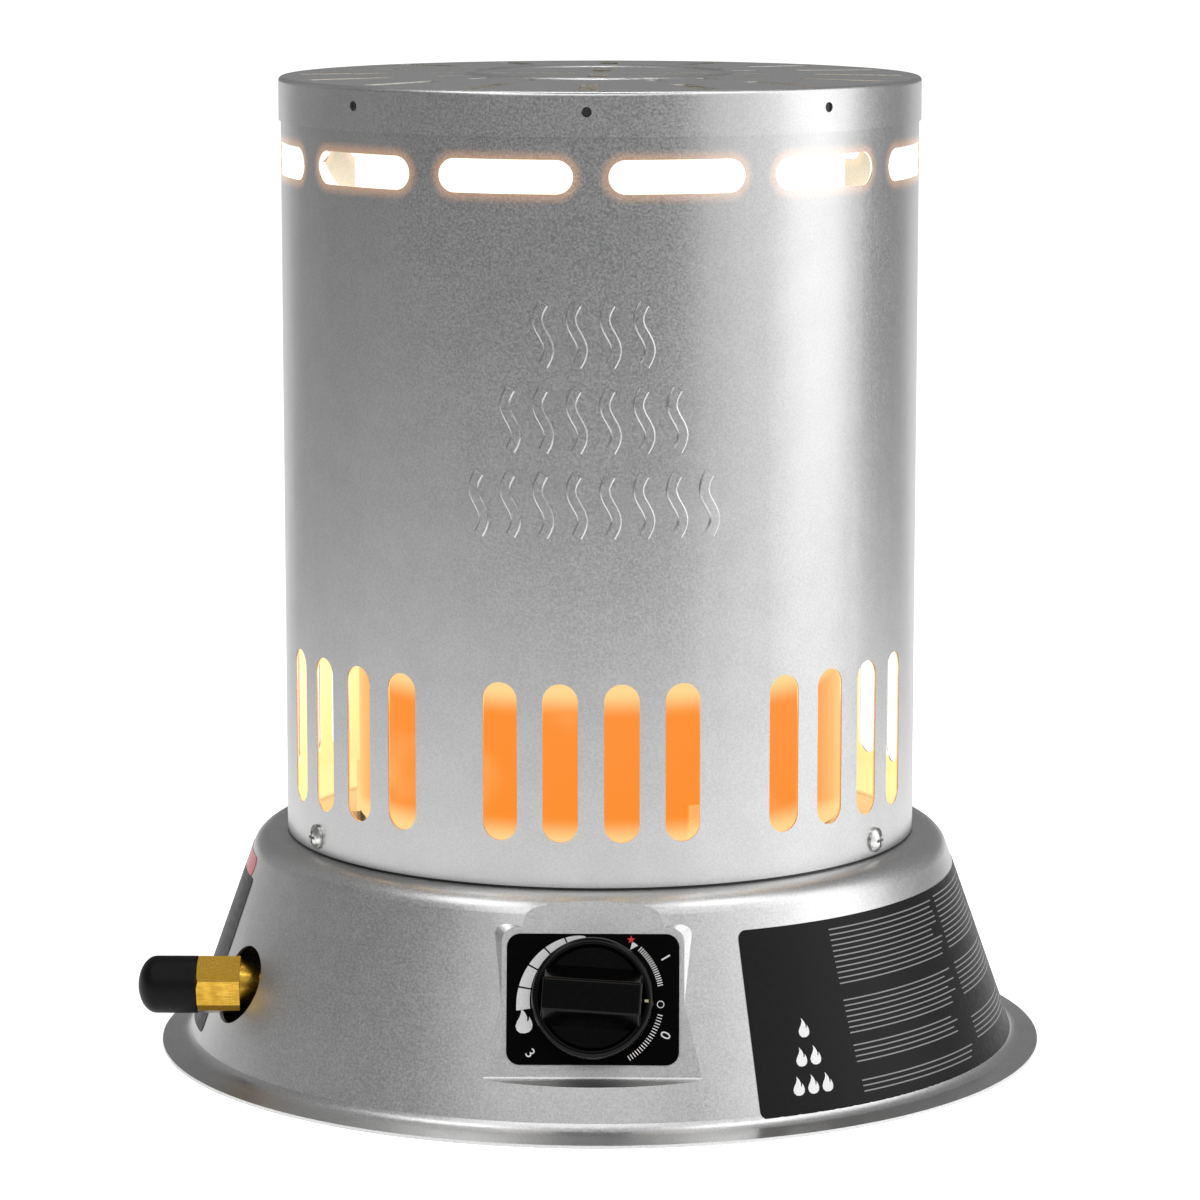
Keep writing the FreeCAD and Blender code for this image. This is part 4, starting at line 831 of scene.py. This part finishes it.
def waves_tree():
    """A row of upright heat waves, each a flat-topped ridge that sways once."""
    real = ("Pitch", "Height", "Stroke", "Sway", "Rise")
    group, tree, given = group_tree("heat_waves", ("Count",), real)
    half = given["Height"] / 2.0
    ends = {"Start": tree.vector(0.0, -half, 0.0), "End": tree.vector(0.0, half, 0.0)}
    line = tree.make("GeometryNodeCurvePrimitiveLine", ends)
    line = tree.make("GeometryNodeResampleCurve", {"Curve": line, "Count": WAVE_POINTS})
    along = tree.make("GeometryNodeSplineParameter")
    swing = (along * (2 * pi)).maths("SINE") * given["Sway"]
    line = tree.make("GeometryNodeSetPosition", {"Geometry": line, "Offset": tree.vector(swing, 0.0, 0.0)})
    end = abs(along * 2.0 - 1.0) ** WAVE_END_POWER
    radius = (WAVE_END_LEFT - end) ** 0.5
    line = tree.make("GeometryNodeSetCurveRadius", {"Curve": line, "Radius": radius})
    inputs = {"Resolution": WAVE_SIDES, "Radius": given["Stroke"] / 2.0}
    circle = tree.make("GeometryNodeCurvePrimitiveCircle", inputs)
    inputs = {"Curve": line, "Profile Curve": circle, "Fill Caps": True}
    ridge = tree.make("GeometryNodeCurveToMesh", inputs)
    x, y, z = tree.parts(tree.make("GeometryNodeInputPosition"))
    steep = z * (given["Rise"] * WAVE_FLANK / given["Stroke"])
    level = steep.smallest(given["Rise"]).largest(-given["Rise"])
    ridge = tree.make("GeometryNodeSetPosition", {"Geometry": ridge, "Position": tree.vector(x, y, level)})
    step = {"Count": given["Count"], "Offset": tree.vector(given["Pitch"], 0.0, 0.0)}
    points = tree.make("GeometryNodeMeshLine", step)
    waves = tree.make("GeometryNodeInstanceOnPoints", {"Points": points, "Instance": ridge})
    finish_tree(tree, waves, given["Material"])
    return group


def inner_steel(glow):
    """The steel inside the shell, with a painted glow that stands in for the fire's light on it between the
    low slots and the liner's top.
    """
    material, tree, surface = sheet_steel("inner_steel")
    x, y, z = tree.parts(tree.place())
    # Painted light: the steel glows with the fire's colour over the height the fire lights.
    painted_fire_light = z.above(LOW_SLOT_BOTTOM - INNER_GLOW_DEPTH) * z.below(LINER_TOP)
    fire = burning_colour(tree, glow, (x, y, z))
    tree.feed(surface, "Emission Color", painted_fire_light.blend(grey(0.0), fire))
    tree.feed(surface, "Emission Strength", INNER_GLOW)
    return material


def plain_finish(name):
    """The finish of this name from the tables of sheets, metals and plastics."""
    if name in SHEETS:
        return sheet_steel(name)[0]
    return plain_metal(name) if name in METALS else plastic(name)


class HEATER_OT_finishes(bpy.types.Operator):
    """Give every CAD piece its metal, plastic or glow"""
    bl_idname = "heater.finishes"
    bl_label = "Finish the pieces"

    def execute(self, context):
        glow = context.scene.heater_glow
        for name, nodes in WORN.items():
            assign(plain_finish(name), *nodes)
        assign(brushed_brass(), *BRASS_PIECES)
        assign(inner_steel(glow), *INNER_PIECES)
        assign(shell_steel(glow), "outer_shell")
        assign(glowing_liner(glow), "combustion_liner")
        bare = [name for name, piece in frame["nodes"].items() if not piece.data.materials]
        if bare:
            raise RuntimeError(f"pieces without a finish: {bare}")
        return {"FINISHED"}


class HEATER_OT_waves(bpy.types.Operator):
    """Raise three rows of heat waves on the front of the shell"""
    bl_idname = "heater.waves"
    bl_label = "Raise the heat waves"

    def execute(self, context):
        waves = context.scene.heater_waves
        steel = sheet_steel("wave_steel")[0]
        group = waves_tree()
        drawn = []
        for row in range(waves.rows):
            count = waves.fewest + row * waves.more
            values = {"Count": count, "Pitch": waves.pitch, "Height": waves.height, "Stroke": waves.stroke,
                      "Sway": waves.sway, "Rise": waves.rise, "Material": steel}
            points, faces = drawn_by(group, values)
            left = -waves.pitch * (count - 1) / 2
            up = waves.top_row - row * waves.row_pitch
            drawn.append(([(p.x + left, p.y + up, p.z) for p in points], faces))
        bent("heat_waves", drawn, ring_place(SHELL_RADIUS, 0.0), steel, "heater")
        return {"FINISHED"}


def heat_scale(dial):
    """The tapering band left of the knob, in separate parts from a thin start to a wide end."""
    def share(angle):
        return (angle - SCALE_START) / (SCALE_END - SCALE_START)

    def inner(angle):
        return SCALE_RADIUS + SCALE_DRIFT * share(angle)

    def outer(angle):
        return inner(angle) + SCALE_THIN + SCALE_SWELL * share(angle) ** SCALE_POWER

    part = (SCALE_END - SCALE_START) / dial.segments
    drawn = []
    for i in range(dial.segments):
        first = SCALE_START + i * part
        columns = arc_columns(first, first + part - SCALE_GAP, inner, outer)
        drawn.append(slab([c[::-1] for c in columns], -INK_SINK, INK))
    return drawn


def dial_numbers():
    """Plain numbers for off, low and high, drawn flat."""
    drawn = []
    for text, (radius, angle) in NUMBERS.items():
        curve = bpy.data.curves.new("dial_number", "FONT")
        curve.body = text
        curve.size = NUMBER_SIZE
        curve.align_x = curve.align_y = "CENTER"
        curve.extrude = INK / 2
        holder = linked("dial_number", curve)
        depsgraph = bpy.context.evaluated_depsgraph_get()
        mesh = bpy.data.meshes.new_from_object(holder.evaluated_get(depsgraph))
        turn = angle - pi / 2 if sin(angle) > 0 else angle + pi / 2
        at = (radius * cos(angle), radius * sin(angle))
        flat = moved([(v.co.x, v.co.y) for v in mesh.vertices], at, turn)
        points = [(x, y, v.co.z + INK / 2) for (x, y), v in zip(flat, mesh.vertices)]
        drawn.append((points, [list(p.vertices) for p in mesh.polygons]))
        bpy.data.objects.remove(holder)
        bpy.data.curves.remove(curve)
        bpy.data.meshes.remove(mesh)
    return drawn


class HEATER_OT_stakes(bpy.types.Operator):
    """Fill the cap's stake holes with punched dimples, dark discs of painted shade"""
    bl_idname = "heater.stakes"
    bl_label = "Punch the stakes"

    def execute(self, context):
        # Dark discs: painted shade in the punched dimples.
        dark = ink("stake_dark")
        drawn = []
        for i in range(STAKES):
            along = (CAP_TURN + 2 * pi * i / STAKES) * SHELL_RADIUS
            outline = [(along + STAKE_RADIUS * cos(a), STAKE_HEIGHT + STAKE_RADIUS * sin(a))
                       for a in (2 * pi * k / STAKE_SIDES for k in range(STAKE_SIDES))]
            drawn.append(prism(outline, -SHELL_SHEET, -STAKE_DEPTH))
        bent("cap_stakes", drawn, ring_place(SHELL_RADIUS, 0.0), dark, "heater")
        return {"FINISHED"}


def turned(profile, middle, steps):
    """A solid turned round a line along X from points of x and radius, closed at both ends."""
    count = len(profile)
    points, faces = [], []
    for i in range(steps):
        angle = 2 * pi * i / steps
        points += [(x, middle.y + r * cos(angle), middle.z + r * sin(angle)) for x, r in profile]
        here, there = i * count, (i + 1) % steps * count
        for j in range(count - 1):
            faces.append([here + j, there + j, there + j + 1, here + j + 1])
    faces.append([i * count for i in range(steps)][::-1])
    faces.append([i * count + count - 1 for i in range(steps)])
    return points, faces


class HEATER_OT_cap(bpy.types.Operator):
    """Turn the inlet's cap with its round end"""
    bl_idname = "heater.cap"
    bl_label = "Turn the inlet cap"

    def execute(self, context):
        low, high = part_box("dust_cap")
        radius = (high.z - low.z) / 2
        start = asin(CAP_FLAT / radius)
        profile = []
        for i in range(DOME_STEPS + 1):
            angle = start + (pi / 2 - start) * i / DOME_STEPS
            depth = CAP_DOME * (1 - cos(angle) / cos(start))
            profile.append((low.x + depth, radius * sin(angle)))
        profile += [(high.x, radius), (high.x, CAP_BORE), (low.x + CAP_END, CAP_BORE)]
        vinyl = frame["nodes"]["dust_cap"].data.materials[0]
        points, faces = turned(profile, (low + high) / 2, CAP_SIDES)
        cap = new_object("round_cap", points, faces, vinyl, "inlet_dust_cap")
        cap.data.shade_smooth()
        cap.data.set_sharp_from_angle(angle=CAP_SHARP)
        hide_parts("dust_cap")
        return {"FINISHED"}


class HEATER_OT_dial(bpy.types.Operator):
    """Print the heat scale, flame, star, ring, ticks and numbers round the knob"""
    bl_idname = "heater.dial"
    bl_label = "Print the dial"

    def execute(self, context):
        dial = context.scene.heater_dial
        white = ink("dial_white")
        on_plate = plate_place(PLATE_FRONT)
        drawn = heat_scale(dial)
        flame = moved(flame_outline(DIAL_FLAME), DIAL_FLAME_AT, DIAL_FLAME_TURN)
        drawn.append(prism(flame, -INK_SINK, INK))
        ring = arc_columns(0, 2 * pi, lambda a: RING_INSIDE, lambda a: RING_OUTSIDE, RING_STEPS)
        drawn.append(slab([moved(column[::-1], RING_AT) for column in ring], -INK_SINK, INK))
        drawn.append(prism(moved(ARROW, ARROW_AT, ARROW_TURN), -INK_SINK, INK))
        drawn += dial_numbers()
        group = ticks_tree()
        for first, last in TICK_ARCS:
            values = {"Count": dial.ticks, "Radius": dial.tick_radius, "First angle": first,
                      "Last angle": last, "Length": dial.tick_length,
                      "Width": dial.tick_width, "Rise": INK, "Material": white}
            drawn.append(drawn_by(group, values))
        bent("dial_marks", drawn, on_plate, white, "heater")
        star = prism(moved(star_outline(STAR), STAR_AT), -INK_SINK, INK)
        bent("dial_star", [star], on_plate, ink("dial_red"), "heater")
        pointer = [(POINTER_IN, -POINTER_HALF), (POINTER_OUT, -POINTER_HALF),
                   (POINTER_OUT, POINTER_HALF), (POINTER_IN, POINTER_HALF)]
        pointer = prism(moved(pointer, (0.0, 0.0), POINTER_TURN), -INK_SINK, INK)
        bent("knob_pointer", [pointer], plate_place(KNOB_RIM), ink("pointer_yellow"), "control_knob")
        return {"FINISHED"}


def rounded_columns(left, right, low, high, corner, columns, rows):
    """Columns of a panel on the cone with rounded corners: x is the azimuth and y the height."""
    made = []
    for i in range(columns + 1):
        x = left + (right - left) * (0.5 - 0.5 * cos(pi * i / columns))
        near = min(x - left, right - x)
        part = max(0.0, 1.0 - near / on_cone_arc(corner))
        inset = corner * (1 - sqrt(max(0.0, 1 - part * part)))
        bottom, top = low + inset, high - inset
        made.append([(x, bottom + (top - bottom) * r / rows) for r in range(rows + 1)])
    return made


def panel_black(name, tone):
    """Glossy black film with a faint grain."""
    material, tree, surface = new_material(
        name, Coat_Weight=0.03, Coat_Roughness=0.3, Specular_IOR_Level=0.15)
    grain = tree.noise(FILM_SCALE, 2.0)
    patterned(tree, surface, grain, grey(tone), grey(tone * FILM_LIGHT), FILM_SMOOTH, FILM_ROUGH)
    return material


def on_cone_arc(distance):
    """The azimuth that this distance covers halfway up the cone."""
    middle = CONE_FOOT_RADIUS - CONE_MIDDLE * tan(CONE_LEAN)
    return distance / middle


class HEATER_OT_labels(bpy.types.Operator):
    """Lay the black panels on the cone, with ruled blocks and three heat steps"""
    bl_idname = "heater.labels"
    bl_label = "Lay the cone panels"

    def execute(self, context):
        labels = context.scene.heater_labels
        on_cone = cone_place(0.0)
        columns = rounded_columns(PHOTO_TURN + RIGHT_FIRST, PHOTO_TURN + RIGHT_LAST, RIGHT_LOW, RIGHT_HIGH,
                                  RIGHT_CORNER, RIGHT_COLUMNS, PANEL_ROWS)
        black = panel_black("panel_black", RIGHT_TONE)
        bent("right_panel", [slab(columns, -PANEL_SINK, labels.lift)], on_cone, black, "heater")
        self.print_rules(labels, on_cone)
        self.print_steps(labels, on_cone)
        self.lay_left_panel(labels, on_cone)
        return {"FINISHED"}

    def print_rules(self, labels, on_cone):
        """Blocks of ruled lines."""
        pale = ink("rule_grey")
        group = rules_tree()
        drawn = []
        for number, (rows, top, first, last) in enumerate(RULE_BLOCKS):
            values = {"Rows": rows, "Pitch": labels.rule_pitch, "Length": radians(last - first),
                      "Shortest": RULE_SHORTEST, "Width": labels.rule_width, "Rise": INK,
                      "Bends": RULE_BENDS, "Seed": labels.seed + number, "Material": pale}
            points, faces = drawn_by(group, values)
            start = PHOTO_TURN + radians(first)
            drawn.append(([(p.x + start, p.y + top * MM, p.z + labels.lift) for p in points], faces))
        bent("panel_rules", drawn, on_cone, pale, "heater")

    def print_steps(self, labels, on_cone):
        """Rows of one, two and three flames."""
        drawn = []
        for row in range(STEP_ROWS):
            height = STEP_TOP - row * STEP_DROP
            for i in range(row + 1):
                start = PHOTO_TURN + STEP_AZIMUTH + on_cone_arc((i - row / 2) * STEP_PITCH)
                outline = [(start + on_cone_arc(x), height + y) for x, y in flame_outline(STEP_FLAME)]
                drawn.append(prism(outline, labels.lift - INK_SINK, labels.lift + INK))
        bent("heat_steps", drawn, on_cone, ink("step_white"), "heater")

    def lay_left_panel(self, labels, on_cone):
        """The panel behind the gas inlet, with its red band along the top."""
        first, last = PHOTO_TURN + LEFT_FIRST, PHOTO_TURN + LEFT_LAST
        body = rounded_columns(last, first, LEFT_LOW, LEFT_HIGH, LEFT_CORNER, LEFT_COLUMNS, PANEL_ROWS)
        film = panel_black("panel_grey", LEFT_TONE)
        bent("left_panel", [slab(body, -PANEL_SINK, labels.lift)], on_cone, film, "heater")
        first -= BAND_INSET
        band = rounded_columns(last, first, LEFT_HIGH, BAND_HIGH, BAND_CORNER, LEFT_COLUMNS, BAND_ROWS)
        bent("left_band", [slab(band, -PANEL_SINK, labels.lift)], on_cone, ink("band_red"), "heater")


def studio_world():
    """A dim grey room."""
    world = bpy.data.worlds.new("studio")
    world.use_nodes = True
    background = world.node_tree.nodes["Background"]
    background.inputs["Color"].default_value = grey(ROOM_GREY)
    bpy.context.scene.world = world


def studio_floor():
    """A wide pale floor with painted light that makes it glow round the heater and behind it, and painted
    shade that greys it in front.
    """
    material, tree, surface = new_material("floor_white", Roughness=0.8, Specular_IOR_Level=0.1)
    x, y, z = tree.parts(tree.place())
    # Painted light: the floor glows round the heater's foot and in a wedge behind it, and painted shade greys
    # it towards the front.
    near = radius_of(x, y).smooth(FLOOR_NEAR, FLOOR_NEAR_END, FLOOR_NEAR_GLOW, 0.0)
    behind = (y - abs(x) * WEDGE_SLOPE).smooth(WEDGE_START, WEDGE_END, 0.0, WEDGE_GLOW)
    tree.feed(surface, "Emission Color", near.largest(behind).blend(grey(0.0), grey(1.0)))
    tree.feed(surface, "Emission Strength", 1.0)
    front = y.smooth(FRONT_START, FRONT_END)
    tree.feed(surface, "Base Color", front.blend(grey(FRONT_SHADE_GREY), grey(FLOOR_GREY)))
    turns = [2 * pi * i / FLOOR_SIDES for i in range(FLOOR_SIDES)]
    rim = [(FLOOR_RADIUS * cos(a), FLOOR_RADIUS * sin(a), 0.0) for a in turns]
    return meshed("floor", rim, [list(range(FLOOR_SIDES))], material)


def soft_light(name, azimuth, height, distance, width, length, power):
    """A rectangular light that faces the heater."""
    data = bpy.data.lights.new(name, "AREA")
    data.shape = "RECTANGLE"
    data.size = width
    data.size_y = length
    data.energy = power
    light = linked(name, data)
    angle = radians(azimuth)
    light.location = (distance * sin(angle), -distance * cos(angle), height)
    aim = LIGHT_AIM - light.location
    light.rotation_euler = aim.to_track_quat("-Z", "Y").to_euler()
    return light


def photo_camera(studio):
    """The camera at the photo's angle."""
    data = bpy.data.cameras.new("photo_camera")
    data.sensor_width = SENSOR
    data.lens = studio.lens
    camera = linked("photo_camera", data)
    side, front = sin(PHOTO_TURN), cos(PHOTO_TURN)
    camera.location = (studio.distance * side, -studio.distance * front, studio.height)
    level = cos(studio.pitch)
    aim = Vector((-side * level, front * level, -sin(studio.pitch)))
    camera.rotation_mode = "QUATERNION"
    camera.rotation_quaternion = aim.to_track_quat("-Z", "Y")
    bpy.context.scene.camera = camera
    return camera


class HEATER_OT_studio(bpy.types.Operator):
    """Set the floor, the soft lights, the backdrop and the camera"""
    bl_idname = "heater.studio"
    bl_label = "Set the studio"

    def execute(self, context):
        studio = context.scene.heater_studio
        lights = [soft_light(name, *place, getattr(studio, power))
                  for name, (*place, power) in LIGHTS.items()]
        studio_floor()
        photo_camera(studio)
        studio_world()
        view = context.scene.view_settings
        view.view_transform, view.look = "Standard", "None"
        if context.scene.camera is None:
            raise RuntimeError("the camera wasn't set")
        return {"FINISHED"}


class HEATER_PT_panel(bpy.types.Panel):
    """The steps that build the heater's looks, in order"""
    bl_label = "Propane heater"
    bl_idname = "HEATER_PT_panel"
    bl_space_type = "VIEW_3D"
    bl_region_type = "UI"
    bl_category = "Heater"

    def draw(self, context):
        for step in STEPS:
            self.layout.operator(step.bl_idname)


STEPS = (HEATER_OT_finishes, HEATER_OT_waves, HEATER_OT_stakes, HEATER_OT_cap, HEATER_OT_dial,
         HEATER_OT_labels, HEATER_OT_studio)
GROUPS = {"heater_glow": HeaterGlow, "heater_waves": HeaterWaves, "heater_dial": HeaterDial,
          "heater_labels": HeaterLabels, "heater_studio": HeaterStudio}


def register():
    for group in (*GROUPS.values(), *STEPS, HEATER_PT_panel):
        bpy.utils.register_class(group)
    for name, group in GROUPS.items():
        setattr(bpy.types.Scene, name, PointerProperty(type=group))


def unregister():
    for name in GROUPS:
        delattr(bpy.types.Scene, name)
    for group in reversed((*GROUPS.values(), *STEPS, HEATER_PT_panel)):
        bpy.utils.unregister_class(group)


def main():
    register()
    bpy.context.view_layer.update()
    bpy.ops.heater.finishes()
    bpy.ops.heater.waves()
    bpy.ops.heater.stakes()
    bpy.ops.heater.cap()
    bpy.ops.heater.dial()
    bpy.ops.heater.labels()
    bpy.ops.heater.studio()


if __name__ == "__main__":
    main()
